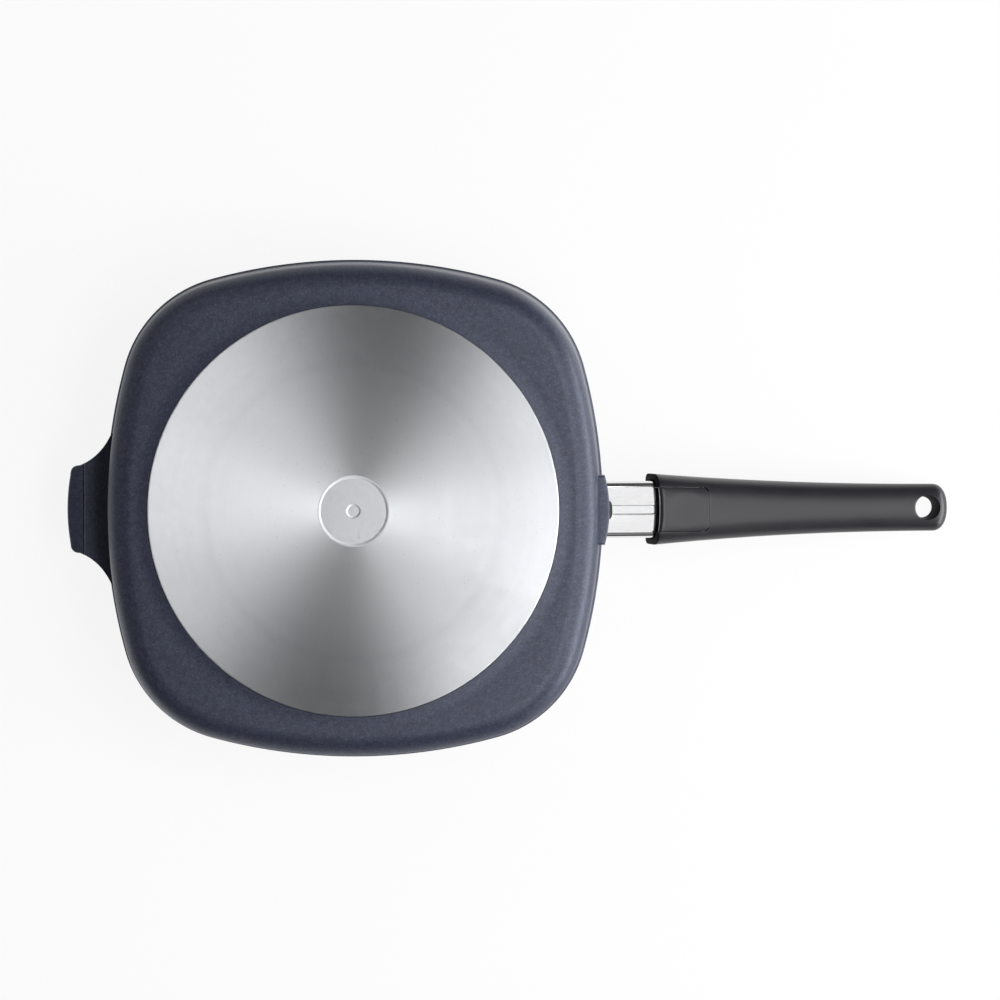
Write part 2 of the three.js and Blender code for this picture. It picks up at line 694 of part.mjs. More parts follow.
function stubScrew() {
  const radius = STUB_SOCKET_WIDTH / Math.sqrt(3);
  const headEnd = stubHeadSeat + STUB_HEAD_HEIGHT;
  const hexagon = new THREE.CylinderGeometry(radius, radius, 2 * STUB_SOCKET_DEPTH, 6);
  const recess = solid(hexagon.rotateZ(-Math.PI / 2).translate(headEnd, 0, 0));
  return screw(
    STUB_SCREW_DIAMETER, STUB_HEAD_DIAMETER, STUB_HEAD_HEIGHT, -STUB_SCREW_BITE, stubHeadSeat, recess,
  );
}

function stubWasher() {
  const disc = rodX(WASHER_DIAMETER, washerSeat, washerSeat + WASHER, 0, 0);
  return disc.subtract(rodX(stubBore, -BEYOND, BEYOND, 0, 0));
}

// Catch spring: a leaf above the sleeve's floor, a tooth at its front, a tab screwed to the socket end
const leafBottom = -halfStub + SHEET + LEAF_LIFT;
const tabBack = socketEnd - SEAT_FIT;
const tabFront = tabBack - TAB;

function catchSpring() {
  const leafTop = leafBottom + LEAF;
  const leaf = block([toothFront, -LEAF_WIDTH / 2, leafBottom], [tabBack, LEAF_WIDTH / 2, leafTop]);
  const tooth = block(
    [toothFront, -TOOTH_WIDTH / 2, toothTip],
    [toothFront + TOOTH_LENGTH, TOOTH_WIDTH / 2, leafTop],
  );
  const tab = block([tabFront, -TAB_WIDTH / 2, leafBottom], [tabBack, TAB_WIDTH / 2, TAB_ABOVE]);
  let body = leaf.add(tooth).add(tab);
  for (const side of catchScrewSides) {
    body = body.subtract(rodX(catchBore, -BEYOND, 2 * BEYOND, side, CATCH_SCREW_HEIGHT));
  }
  return body;
}

// Catch screw: drawn along +X with a cross recess, then turned so that its head faces the mouth
function catchScrew() {
  const seat = FACE_GAP - tabFront;
  const point = SEAT_FIT - socketEnd - CATCH_SCREW_BITE;
  const floor = seat + CATCH_HEAD_HEIGHT - CATCH_CROSS_DEPTH;
  const arm = CATCH_CROSS_LENGTH / 2;
  const slot = CATCH_CROSS_WIDTH / 2;
  const cross = block([floor, -arm, -slot], [floor + BEYOND, arm, slot])
    .add(block([floor, -slot, -arm], [floor + BEYOND, slot, arm]));
  const drawn = screw(
    CATCH_SCREW_DIAMETER, CATCH_HEAD_DIAMETER, CATCH_HEAD_HEIGHT, point, seat, cross,
  );
  return solid(surface(drawn).rotateZ(Math.PI));
}

// Materials
const material = (color, roughness, metalness) => (
  new THREE.MeshStandardMaterial({ color, roughness, metalness })
);
const coatedCasting = material(0x4d5363, 0.55, 0.35);
const polishedSteel = material(0xd9dadc, 0.12, 1);
const brightMetal = material(0xc4c6c9, 0.3, 1);
const plainSteel = material(0x9a9da1, 0.38, 1);
const springSteel = material(0x7f858c, 0.34, 1);
const darkGasket = material(0x17181a, 0.7, 0);
const gripPlastic = material(0x2b2b2d, 0.48, 0);
const leverPlastic = material(0x303032, 0.46, 0);

function named(name, body, look) {
  const geometry = surface(body);
  geometry.computeVertexNormals();
  const mesh = new THREE.Mesh(geometry, look);
  mesh.name = name;
  return mesh;
}

function placed(mesh, y, z) {
  mesh.position.set(0, y, z);
  return mesh;
}

// Assembly: the pan stands on its base, and everything on the stub lies in the turned stub frame
const form = gripForm();
const stub = new THREE.Group();
stub.applyMatrix4(stubFrame);
stub.add(
  named('boss_gasket', bossGasket(), darkGasket),
  named('stub_core', stubCore(), brightMetal),
  named('stub_sleeve', stubSleeve(), polishedSteel),
  placed(named('stub_screw_left', stubScrew(), plainSteel), stubScrewSides[0], 0),
  placed(named('stub_screw_right', stubScrew(), plainSteel), stubScrewSides[1], 0),
  placed(named('stub_washer_left', stubWasher(), plainSteel), stubScrewSides[0], 0),
  placed(named('stub_washer_right', stubWasher(), plainSteel), stubScrewSides[1], 0),
);

const handle = new THREE.Group();
handle.applyMatrix4(stubFrame);
handle.add(
  named('handle_grip', handleGrip(form), gripPlastic),
  named('release_lever', releaseLever(form), leverPlastic),
  named('lever_pin', leverPin(), plainSteel),
  named('catch_spring', catchSpring(), springSteel),
  placed(named('catch_screw_left', catchScrew(), plainSteel), catchScrewSides[0], CATCH_SCREW_HEIGHT),
  placed(named('catch_screw_right', catchScrew(), plainSteel), catchScrewSides[1], CATCH_SCREW_HEIGHT),
);

const pan = new THREE.Group();
pan.add(named('pan_body', panBody(), coatedCasting), stub, handle);

export default pan;
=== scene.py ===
"""Square frying pan with a pull-off handle: smooth forms, materials, light and camera."""

import math
import random

import bmesh
import bpy
from mathutils import Matrix, Vector


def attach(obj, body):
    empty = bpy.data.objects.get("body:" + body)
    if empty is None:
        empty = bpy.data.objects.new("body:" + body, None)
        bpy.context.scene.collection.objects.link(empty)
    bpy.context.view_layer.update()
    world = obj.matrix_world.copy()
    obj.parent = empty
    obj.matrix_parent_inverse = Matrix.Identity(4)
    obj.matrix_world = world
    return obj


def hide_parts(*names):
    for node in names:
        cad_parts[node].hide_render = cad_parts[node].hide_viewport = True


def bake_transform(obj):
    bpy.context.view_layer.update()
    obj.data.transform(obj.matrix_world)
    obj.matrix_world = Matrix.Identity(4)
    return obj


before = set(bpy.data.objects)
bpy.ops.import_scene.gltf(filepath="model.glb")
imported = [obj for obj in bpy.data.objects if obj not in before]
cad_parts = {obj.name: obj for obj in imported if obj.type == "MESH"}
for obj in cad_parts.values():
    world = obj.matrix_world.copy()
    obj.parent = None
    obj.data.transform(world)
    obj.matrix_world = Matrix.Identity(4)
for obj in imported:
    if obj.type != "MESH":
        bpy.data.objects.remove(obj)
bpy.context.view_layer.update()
random.seed(7)

MM = 0.001
QUARTER = math.pi / 2
SHARP = math.radians(32)
BASE_SHARP = math.radians(40)
SOFTEN_ANGLE = math.radians(50)
SAME_POINT = 1e-4

# Turns of a flat outline: upright with its second direction as Z, or with its depth along X
UPRIGHT = Matrix(((1, 0, 0, 0), (0, 0, 1, 0), (0, 1, 0, 0), (0, 0, 0, 1)))
ALONG_X = Matrix(((0, 0, 1, 0), (1, 0, 0, 0), (0, 1, 0, 0), (0, 0, 0, 1)))

# Pan sizes in millimetres
RIM_WIDTH = 290
SIDE_ARC_RADIUS = 316
CORNER_RADIUS = 71.5
PAN_SIDE_STEPS = 20
PAN_CORNER_STEPS = 18
PAN_HEIGHT = 52
FLOOR_TOP = 9
LAND_RADIUS = 118
LAND_PROUD = 1
LAND_GROOVE = 0.3
LAND_SEAT = 2
LAND_SEAT_INSET = 0.8
SHOULDER_WIDTH = 8.8
SHOULDER_RISE = 0.92
SHOULDER_STEPS = 8
UNDERSIDE_INSET = 17.5
WALL_FOOT_INSET = 3.4
WALL_FOOT_HEIGHT = 15
WALL_TOP_INSET = 1.5
WALL_TOP = 44
INSIDE_FOOT_INSET = 9.4
INSIDE_TOP_INSET = 8.1
LIP_UNDER = 49
LIP_ROUND = 1.2
LIP_STEPS = 5
RIM_BAND = 5
INSIDE_RADIUS = 12
CAST_EDGE = 1.5
RIM_EDGE = RIM_WIDTH / 2
SIDE_CENTRE = SIDE_ARC_RADIUS - RIM_EDGE
CENTRE_REACH = SIDE_ARC_RADIUS - CORNER_RADIUS
CORNER_CENTRE = (math.sqrt(2 * CENTRE_REACH ** 2 - SIDE_CENTRE ** 2) - SIDE_CENTRE) / 2
SIDE_SWEEP = math.atan2(CORNER_CENTRE, CORNER_CENTRE + SIDE_CENTRE)

# Stub frame: u runs out along the stub, w is square to it
STUB_RISE = math.radians(14)
STUB = Matrix.Translation((143.2, 0, 28)) @ Matrix.Rotation(-STUB_RISE, 4, "Y")
STUB_WIDTH = 33
STUB_THICKNESS = 16
STUB_CORNER = 3.6
STUB_CORNER_STEPS = 10
SEAT_GAP = 0.3
SEAT_REACH = 40
SHEET = 1.2
SLEEVE_START = 0.15
SLEEVE_END = 59.0
SLEEVE_FRONT_CHAMFER = 0.2
SLEEVE_END_CHAMFER = 0.25
SEAM = 4.65
SEAM_LIP = 0.3
STUB_SCREW_SIDES = (7.5, -7.5)
STUB_BORE_RADIUS = 2.7
STUB_BORE_START = -5.3
STUB_BORE_END = 4
NOSE_LOW = (-0.15, -5.7, -10.4)
NOSE_HIGH = (40, 5.7, 0)

# Tooth of the catch and its window in the sleeve
TOOTH_FRONT = 41.0
TOOTH_LENGTH = 4
TOOTH_HALF = 4.5
TOOTH_LOW = -8.3
WINDOW_GAP = 0.4


# Mesh tools

def made(name, points, faces, matrix=None):
    """A piece from points in millimetres, with its faces turned outwards."""
    mesh = bpy.data.meshes.new(name)
    mesh.from_pydata([Vector(p) for p in points], [], faces)
    if matrix is not None:
        mesh.transform(matrix)
    mesh.transform(Matrix.Scale(MM, 4))
    mesh.update()
    piece = bpy.data.objects.new(name, mesh)
    bpy.context.scene.collection.objects.link(piece)
    turn_outwards(piece)
    return piece


def turn_outwards(piece):
    work = bmesh.new()
    work.from_mesh(piece.data)
    bmesh.ops.recalc_face_normals(work, faces=work.faces)
    work.to_mesh(piece.data)
    work.free()


def settle(piece):
    """Make the result of the piece's modifiers its own mesh."""
    graph = bpy.context.evaluated_depsgraph_get()
    mesh = bpy.data.meshes.new_from_object(piece.evaluated_get(graph))
    old = piece.data
    piece.modifiers.clear()
    piece.data = mesh
    bpy.data.meshes.remove(old)
    mesh.name = piece.name
    return piece


def carve(piece, tool, operation="DIFFERENCE"):
    change = piece.modifiers.new("carve", "BOOLEAN")
    change.object = tool
    change.operation = operation
    change.solver = "EXACT"
    settle(piece)
    bpy.data.objects.remove(tool)
    return piece


def soften(piece, width):
    change = piece.modifiers.new("soften", "BEVEL")
    change.width = width * MM
    change.segments = 2
    change.limit_method = "ANGLE"
    change.angle_limit = SOFTEN_ANGLE
    return settle(piece)


def smooth(piece, angle=SHARP):
    piece.data.shade_smooth()
    piece.data.set_sharp_from_angle(angle=angle)
    return piece


def skin(name, rings, first, last, matrix=None):
    """A closed skin through rings of equal point count, capped by a fan at both ends."""
    count = len(rings[0])
    points = [first] + [p for ring in rings for p in ring] + [last]
    end = len(points) - 1
    faces = []
    for i in range(count):
        j = (i + 1) % count
        faces.append((0, 1 + j, 1 + i))
        for k in range(len(rings) - 1):
            low, high = 1 + k * count, 1 + (k + 1) * count
            faces.append((low + i, low + j, high + j, high + i))
        top = 1 + (len(rings) - 1) * count
        faces.append((top + i, top + j, end))
    return made(name, points, faces, matrix)


def lathe(name, profile, sides, matrix=None):
    """A turned solid about Z from pairs of radius and height that start and end on the axis."""
    turns = [2 * math.pi * i / sides for i in range(sides)]
    rings = []
    for radius, z in profile[1:-1]:
        rings.append([(radius * math.cos(a), radius * math.sin(a), z) for a in turns])
    return skin(name, rings, (0, 0, profile[0][1]), (0, 0, profile[-1][1]), matrix)


def cylinder(name, radius, low, high, sides, matrix):
    return lathe(name, [(0, low), (radius, low), (radius, high), (0, high)], sides, matrix)


def prism(name, outline, low, high, matrix):
    count = len(outline)
    points = [(x, y, low) for x, y in outline] + [(x, y, high) for x, y in outline]
    faces = [tuple(range(count)), tuple(range(count, 2 * count))]
    for i in range(count):
        j = (i + 1) % count
        faces.append((i, j, count + j, count + i))
    return made(name, points, faces, matrix)


def stub_box(name, low, high):
    """A box between two corners in the stub frame."""
    outline = [(low[0], low[1]), (high[0], low[1]), (high[0], high[1]), (low[0], high[1])]
    return prism(name, outline, low[2], high[2], STUB)


def arc(centre, radius, start, finish, steps):
    turns = [start + (finish - start) * i / steps for i in range(steps + 1)]
    return [(centre[0] + radius * math.cos(a), centre[1] + radius * math.sin(a)) for a in turns]


def curve(start, control, finish, steps):
    points = []
    for i in range(steps + 1):
        t = i / steps
        points.append(tuple(
            (1 - t) ** 2 * start[k] + 2 * t * (1 - t) * control[k] + t * t * finish[k] for k in (0, 1)
        ))
    return points


def joined(*paths):
    """Paths end to end, without the points that repeat."""
    points = []
    for path in paths:
        for point in path:
            if not points or math.dist(point, points[-1]) > SAME_POINT:
                points.append(point)
    if math.dist(points[0], points[-1]) < SAME_POINT:
        points.pop()
    return points


def shrunk(points, distance):
    """An outline moved inwards by a distance."""
    moved = []
    for i, point in enumerate(points):
        here = Vector(point)
        arriving = (here - Vector(points[i - 1])).normalized()
        leaving = (Vector(points[(i + 1) % len(points)]) - here).normalized()
        scale = distance / (1 + arriving.dot(leaving))
        moved.append((
            here.x - (arriving.y + leaving.y) * scale,
            here.y + (arriving.x + leaving.x) * scale,
        ))
    return moved


def rounded_plate(name, outline, low, high, inside):
    """A flat plate with rounded edges, closed by fans about one point inside its outline."""
    rings = []
    steps = 6
    for end, side in ((low, 1), (high, -1)):
        half = []
        for i in range(steps + 1):
            a = QUARTER * i / steps
            z = end + side * CAST_EDGE * (1 - math.cos(a))
            half.append([(x, y, z) for x, y in shrunk(outline, CAST_EDGE * (1 - math.sin(a)))])
        rings += half if side > 0 else half[::-1]
    return skin(name, rings, (inside, 0, low), (inside, 0, high))


def rounded_box_outline(width, height, radius):
    x, y = width / 2 - radius, height / 2 - radius
    steps = 8
    corners = ((x, y), (-x, y), (-x, -y), (x, -y))
    return joined(*[
        arc(c, radius, QUARTER * k, QUARTER * (k + 1), steps) for k, c in enumerate(corners)
    ])


# Pan casting

def pan_outline(inset):
    """The pan's square of four wide arcs and four corner arcs, moved inwards by an inset."""
    side = SIDE_ARC_RADIUS - inset
    corner = CORNER_RADIUS - inset
    quarter = []
    for i in range(PAN_SIDE_STEPS):
        a = SIDE_SWEEP * i / PAN_SIDE_STEPS
        quarter.append((side * math.cos(a) - SIDE_CENTRE, side * math.sin(a)))
    for i in range(PAN_CORNER_STEPS):
        a = SIDE_SWEEP + (QUARTER - 2 * SIDE_SWEEP) * i / PAN_CORNER_STEPS
        quarter.append((CORNER_CENTRE + corner * math.cos(a), CORNER_CENTRE + corner * math.sin(a)))
    for i in range(PAN_SIDE_STEPS, 0, -1):
        a = SIDE_SWEEP * i / PAN_SIDE_STEPS
        quarter.append((side * math.sin(a), side * math.cos(a) - SIDE_CENTRE))
    half = quarter + [(-y, x) for x, y in quarter]
    return half + [(-x, -y) for x, y in half]


def pan_ring(inset, z):
    return [(x, y, z) for x, y in pan_outline(inset)]


def bend(section, steps=12):
    """Rings round a quarter turn, where section gives inset and height from a cosine and a sine."""
    angles = [QUARTER * i / steps for i in range(1, steps + 1)]
    return [pan_ring(*section(math.cos(a), math.sin(a))) for a in angles]


def pan_bowl():
    """Rings from the middle of the underside out, up the wall, over the rim and down the inside."""
    shoulder = LAND_RADIUS + LAND_GROOVE
    profile = [(LAND_RADIUS - LAND_SEAT_INSET, LAND_SEAT), (shoulder, LAND_SEAT)]
    for i in range(SHOULDER_STEPS + 1):
        share = i / SHOULDER_STEPS
        z = LAND_PROUD - SHOULDER_RISE * (1 - share) ** 2
        profile.append((shoulder + SHOULDER_WIDTH * share, z))
    bearings = [math.atan2(y, x) for x, y in pan_outline(0)]
    rings = []
    for radius, z in profile:
        rings.append([(radius * math.cos(a), radius * math.sin(a), z) for a in bearings])
    rings.append(pan_ring(UNDERSIDE_INSET, LAND_PROUD))
    rings += bend(lambda c, s: (
        UNDERSIDE_INSET - (UNDERSIDE_INSET - WALL_FOOT_INSET) * s,
        WALL_FOOT_HEIGHT - (WALL_FOOT_HEIGHT - LAND_PROUD) * c,
    ))
    rings.append(pan_ring(WALL_TOP_INSET, WALL_TOP))
    rings += bend(lambda c, s: (WALL_TOP_INSET * c, WALL_TOP + (LIP_UNDER - WALL_TOP) * s))
    rings.append(pan_ring(0, PAN_HEIGHT - LIP_ROUND))
    rings += bend(lambda c, s: (
        LIP_ROUND * (1 - c), PAN_HEIGHT - LIP_ROUND * (1 - s),
    ), LIP_STEPS)
    rings.append(pan_ring(RIM_BAND, PAN_HEIGHT))
    rings += bend(lambda c, s: (
        RIM_BAND + (INSIDE_TOP_INSET - RIM_BAND) * s, WALL_TOP + (PAN_HEIGHT - WALL_TOP) * c,
    ))
    rings.append(pan_ring(INSIDE_FOOT_INSET, FLOOR_TOP + INSIDE_RADIUS))
    rings += bend(lambda c, s: (
        INSIDE_FOOT_INSET + INSIDE_RADIUS * (1 - c), FLOOR_TOP + INSIDE_RADIUS * (1 - s),
    ))
    return skin("pan_casting", rings, (0, 0, LAND_SEAT), (0, 0, FLOOR_TOP))


LUG_TOP = 46
LUG_BOTTOM = 38
LUG_CROWN = 1.75
LUG_OUTER = -RIM_EDGE - 21.7
LUG_TIP = LUG_OUTER + LUG_CROWN
LUG_LIP = LUG_OUTER + 9.2
LUG_NECK = 25.5
LUG_ROOT = 44
LUG_ROOT_X = -RIM_EDGE + 3.9
LUG_CORNER = 5.5
LUG_FILLET = (-RIM_EDGE - 2.2, LUG_NECK + 4.9)
LUG_BACK_RADIUS = SIDE_ARC_RADIUS - 6.0
LUG_SLOPE = 0.22
LUG_SLOPED_BELOW = LUG_BOTTOM + 2
GROOVE_FLOOR = LUG_BOTTOM + 3
GROOVE_START = LUG_BOTTOM - 6
GROOVE_FLOOR_ROUND = 1.2
GROOVE_EDGE_ROUND = 0.7
GROOVE_HALF = 80


def helper_lug():
    """Flat lug with a finger groove below, whose underside slopes up to its tip."""
    side = (LUG_TIP + LUG_CORNER, LUG_NECK)
    front = (LUG_TIP, LUG_NECK - LUG_CORNER)
    upper = joined(
        curve((LUG_ROOT_X, LUG_ROOT), LUG_FILLET, side, 14),
        curve(side, (LUG_TIP, LUG_NECK), front, 10),
        curve(front, (LUG_OUTER - LUG_CROWN, 0), (LUG_TIP, LUG_CORNER - LUG_NECK), 24),
    )
    lower = [(x, -y) for x, y in upper[::-1] if y > LUG_NECK - LUG_CORNER + SAME_POINT]
    reach = math.asin(LUG_ROOT / LUG_BACK_RADIUS)
    back = arc((SIDE_CENTRE, 0), LUG_BACK_RADIUS, math.pi + reach, math.pi - reach, 12)
    lug = rounded_plate("lug", joined(upper, lower, back), LUG_BOTTOM, LUG_TOP, -RIM_EDGE)
    carve(lug, finger_groove())
    for vertex in lug.data.vertices:
        if vertex.co.z < LUG_SLOPED_BELOW * MM:
            vertex.co.z += LUG_SLOPE * max(0, LUG_LIP * MM - vertex.co.x)
    return lug


def finger_groove():
    """Cutter across the lug's underside, rounded at its floor and at its edge."""
    inner = (LUG_LIP + GROOVE_FLOOR_ROUND, GROOVE_FLOOR - GROOVE_FLOOR_ROUND)
    outer = (LUG_LIP - GROOVE_EDGE_ROUND, LUG_BOTTOM + GROOVE_EDGE_ROUND)
    section = joined(
        [(0, GROOVE_START), (0, GROOVE_FLOOR)],
        arc(inner, GROOVE_FLOOR_ROUND, QUARTER, math.pi, 6),
        arc(outer, GROOVE_EDGE_ROUND, 0, -QUARTER, 6),
        [(outer[0], GROOVE_START)],
    )
    return prism("groove", section, -GROOVE_HALF, GROOVE_HALF, UPRIGHT)


BOSS_HALF = 20
BOSS_RADIUS = 75
BOSS_FRONT = RIM_EDGE + 2.5
BOSS_ROOT = RIM_EDGE - 6.5
BOSS_BOTTOM = 14
BOSS_TOP = 42


def handle_boss():
    reach = math.asin(BOSS_HALF / BOSS_RADIUS)
    outline = joined(
        [(BOSS_ROOT, BOSS_HALF), (BOSS_ROOT, -BOSS_HALF)],
        arc((BOSS_FRONT - BOSS_RADIUS, 0), BOSS_RADIUS, -reach, reach, 24),
    )
    return rounded_plate("boss", outline, BOSS_BOTTOM, BOSS_TOP, BOSS_ROOT + 2)


def stub_seat():
    """Cutter for the place of the stub's end in the boss."""
    width, height = STUB_WIDTH + 2 * SEAT_GAP, STUB_THICKNESS + 2 * SEAT_GAP
    outline = rounded_box_outline(width, height, STUB_CORNER + SEAT_GAP)
    return prism("seat", outline, 0, SEAT_REACH, STUB @ ALONG_X)


def stub_bore(side):
    place = STUB @ Matrix.Translation((0, side, 0)) @ Matrix.Rotation(QUARTER, 4, "Y")
    return cylinder("stub_bore", STUB_BORE_RADIUS, STUB_BORE_START, STUB_BORE_END, 32, place)


casting = pan_bowl()
carve(casting, helper_lug(), "UNION")
carve(casting, handle_boss(), "UNION")
carve(casting, stub_seat())
carve(casting, stub_box("nose_room", NOSE_LOW, NOSE_HIGH))
for side in STUB_SCREW_SIDES:
    carve(casting, stub_bore(side))
smooth(casting)


# Turned base: fine rings left by the tool, a shallow round stamp and a centre dimple

STAMP_RADIUS = 20.3
STAMP_MIDDLE = 12.3
STAMP_DEPTH = 0.14
STAMP_STEP = 1.5
DIMPLE_RADIUS = 4.3
DIMPLE_DEPTH = 0.29
DIMPLE_STEP = 1.4
STEP_MARGIN = 0.2
TURN_WIDTHS = (0.7, 1.5)
TURN_RELIEF = 0.001
TURNS_INSET = 1.8
LAND_EDGE = ((0.7, 0.0), (0.3, 0.05), (0.05, 0.3), (0, 0.6))
LAND_BACK = 2.2
LAND_SIDES = 288


def eased(inner, outer, low, high):
    """A soft step of a turned profile, level at both ends."""
    steps = 6
    points = []
    for i in range(steps + 1):
        t = i / steps
        points.append((inner + (outer - inner) * t, low + (high - low) * t * t * (3 - 2 * t)))
    return points


def turned_base():
    dimple_start = DIMPLE_RADIUS - DIMPLE_STEP
    stamp_end = STAMP_RADIUS - STEP_MARGIN
    stamp_start = stamp_end - STAMP_STEP
    profile = [(0, DIMPLE_DEPTH), (dimple_start - STEP_MARGIN, DIMPLE_DEPTH)]
    profile += eased(dimple_start, DIMPLE_RADIUS, DIMPLE_DEPTH, STAMP_DEPTH)
    for radius in (DIMPLE_RADIUS + STEP_MARGIN, STAMP_MIDDLE, stamp_start - STEP_MARGIN):
        profile.append((radius, STAMP_DEPTH))
    profile += eased(stamp_start, stamp_end, STAMP_DEPTH, 0)
    radius = STAMP_RADIUS + STEP_MARGIN
    profile += [(STAMP_RADIUS, 0), (radius, 0)]
    while radius < LAND_RADIUS - TURNS_INSET:
        radius += random.uniform(*TURN_WIDTHS)
        profile.append((radius, random.uniform(0, TURN_RELIEF)))
    profile += [(LAND_RADIUS - inset, z) for inset, z in LAND_EDGE]
    profile += [(LAND_RADIUS, LAND_BACK), (0, LAND_BACK)]
    return lathe("turned_base", profile, LAND_SIDES)


def stamp_face(face):
    """True for the faces of the stamp and its dimple."""
    within = math.hypot(face.center.x, face.center.y) < (STAMP_RADIUS + STEP_MARGIN / 2) * MM
    return within and face.center.z < LAND_PROUD * MM


base = smooth(turned_base(), BASE_SHARP)


# Stub sleeve: folded sheet with an open seam below

def sleeve_section(grow):
    """Outer and inner walls from one edge of the seam round to the other."""
    half = SEAM / 2 - grow
    path = []
    for inset in (0, SHEET):
        width = STUB_WIDTH + 2 * grow - 2 * inset
        height = STUB_THICKNESS + 2 * grow - 2 * inset
        radius = STUB_CORNER + grow - inset
        x, y = width / 2 - radius, height / 2 - radius
        edge = [(half, -height / 2)]
        if not inset:
            edge = arc((half + SEAM_LIP, SEAM_LIP - height / 2), SEAM_LIP, math.pi, 3 * QUARTER, 4)
        wall = joined(
            edge,
            arc((x, -y), radius, -QUARTER, 0, STUB_CORNER_STEPS),
            arc((x, y), radius, 0, QUARTER, STUB_CORNER_STEPS),
            arc((-x, y), radius, QUARTER, math.pi, STUB_CORNER_STEPS),
            arc((-x, -y), radius, math.pi, 3 * QUARTER, STUB_CORNER_STEPS),
            [(-across, w) for across, w in edge[::-1]],
        )
        path += wall[::-1] if inset else wall
    return path


def extruded(name, stations):
    """A solid from equal outlines in y and w at growing u, in the stub frame."""
    rings = [[(u, y, w) for y, w in outline] for u, outline in stations]
    count = len(rings[0])
    points = [p for ring in rings for p in ring]
    last = (len(rings) - 1) * count
    faces = [tuple(range(count)), tuple(range(last, last + count))]
    for k in range(len(rings) - 1):
        for i in range(count):
            j = (i + 1) % count
            faces.append((k * count + i, k * count + j, (k + 1) * count + j, (k + 1) * count + i))
    return made(name, points, faces, STUB)


sleeve = extruded("stub_sleeve_folded", [
    (u, sleeve_section(grow)) for u, grow in (
        (SLEEVE_START, -SLEEVE_FRONT_CHAMFER),
        (SLEEVE_START + SLEEVE_FRONT_CHAMFER, 0),
        (SLEEVE_END - SLEEVE_END_CHAMFER, 0),
        (SLEEVE_END, -SLEEVE_END_CHAMFER),
    )
])
carve(sleeve, stub_box(
    "window",
    (TOOTH_FRONT - WINDOW_GAP, -TOOTH_HALF - WINDOW_GAP, -STUB_THICKNESS),
    (TOOTH_FRONT + TOOTH_LENGTH + WINDOW_GAP, TOOTH_HALF + WINDOW_GAP, 0),
))
smooth(sleeve)


# Grip: a loft with the socket, the lever's pocket and the hanging hole

MOUTH = 30.3
MOUTH_EDGE = 1.0
MOUTH_STEPS = 5
GRIP_LENGTH = 179.5
GRIP_STRAIGHT = 37
BEND_RADIUS = (GRIP_LENGTH - GRIP_STRAIGHT) / math.radians(7)
BODY_STEPS = 44
TAIL_ROUND = 9
TAIL_START = GRIP_LENGTH - TAIL_ROUND
TAIL_STEPS = 13
TAIL_POWER = 2.3

# Half width, height above and height below the centreline, and how square the section is
MOUTH_HALF = (20.7, 12.9, 15.8)
TAIL_HALF = (13.85, 8.5, 8.5)
WIDTH_POWER = 2.05
HEIGHT_POWER = 1.1
MOUTH_TOP_SQUARENESS = 9
TAIL_TOP_SQUARENESS = 2.6
MOUTH_LOW_SQUARENESS = 3.5
TAIL_LOW_SQUARENESS = 2.25

SOCKET_END = 63.0
SOCKET_GAP = 0.4
SOCKET_LIP = 0.6
POCKET_HALF = 12.95
POCKET_REAR = 61.15
POCKET_STEPS = 12
LEVER_HALF = 12.8
LEVER_FRONT = 30.8
LEVER_REAR = 61.0
LEVER_CORNER = 2.5
LEVER_INNER = -12.1
CORNER_CUT = LEVER_CORNER * 0.29
MOULD_EDGE = 0.035


def centreline(distance):
    """Place in u and w, and angle, at a distance behind the mouth."""
    bent = max(distance - GRIP_STRAIGHT, 0) / BEND_RADIUS
    u = MOUTH + min(distance, GRIP_STRAIGHT) + BEND_RADIUS * math.sin(bent)
    return u, -BEND_RADIUS * (1 - math.cos(bent)), bent


def grip_size(distance, inset=0, shrink=1):
    along = min(max(distance / TAIL_START, 0), 1)
    flare = (1 - along) ** WIDTH_POWER
    deep = (1 - along) ** HEIGHT_POWER
    half = [
        (tail + (mouth - tail) * share - inset) * shrink
        for tail, mouth, share in zip(TAIL_HALF, MOUTH_HALF, (flare, deep, deep))
    ]
    top_squareness = TAIL_TOP_SQUARENESS + (MOUTH_TOP_SQUARENESS - TAIL_TOP_SQUARENESS) * flare
    low_squareness = TAIL_LOW_SQUARENESS + (MOUTH_LOW_SQUARENESS - TAIL_LOW_SQUARENESS) * flare
    return (*half, top_squareness, low_squareness)


def underside(u, y):
    """Height of the grip's lower face in the straight stretch."""
    width, _, bottom, _, squareness = grip_size(u - MOUTH)
    share = min(abs(y) / width, 1)
    return -bottom * (1 - share ** squareness) ** (1 / squareness)


def signed_power(value, exponent):
    return math.copysign(abs(value) ** exponent, value)


# Places across the underside, and the count of points up each side and over the top
UNDER = (10.7, 8.8, 6.6, 4.4, 2.2, 0, -2.2, -4.4, -6.6, -8.8, -10.7)
SIDE_STEPS = 14
TOP_STEPS = 40
ARCH = SIDE_STEPS + TOP_STEPS + SIDE_STEPS + 1
COLUMNS = ARCH + len(UNDER)

# Distance behind the mouth of the ring whose arch spaces the socket's points
ARCH_STATION = 30.3


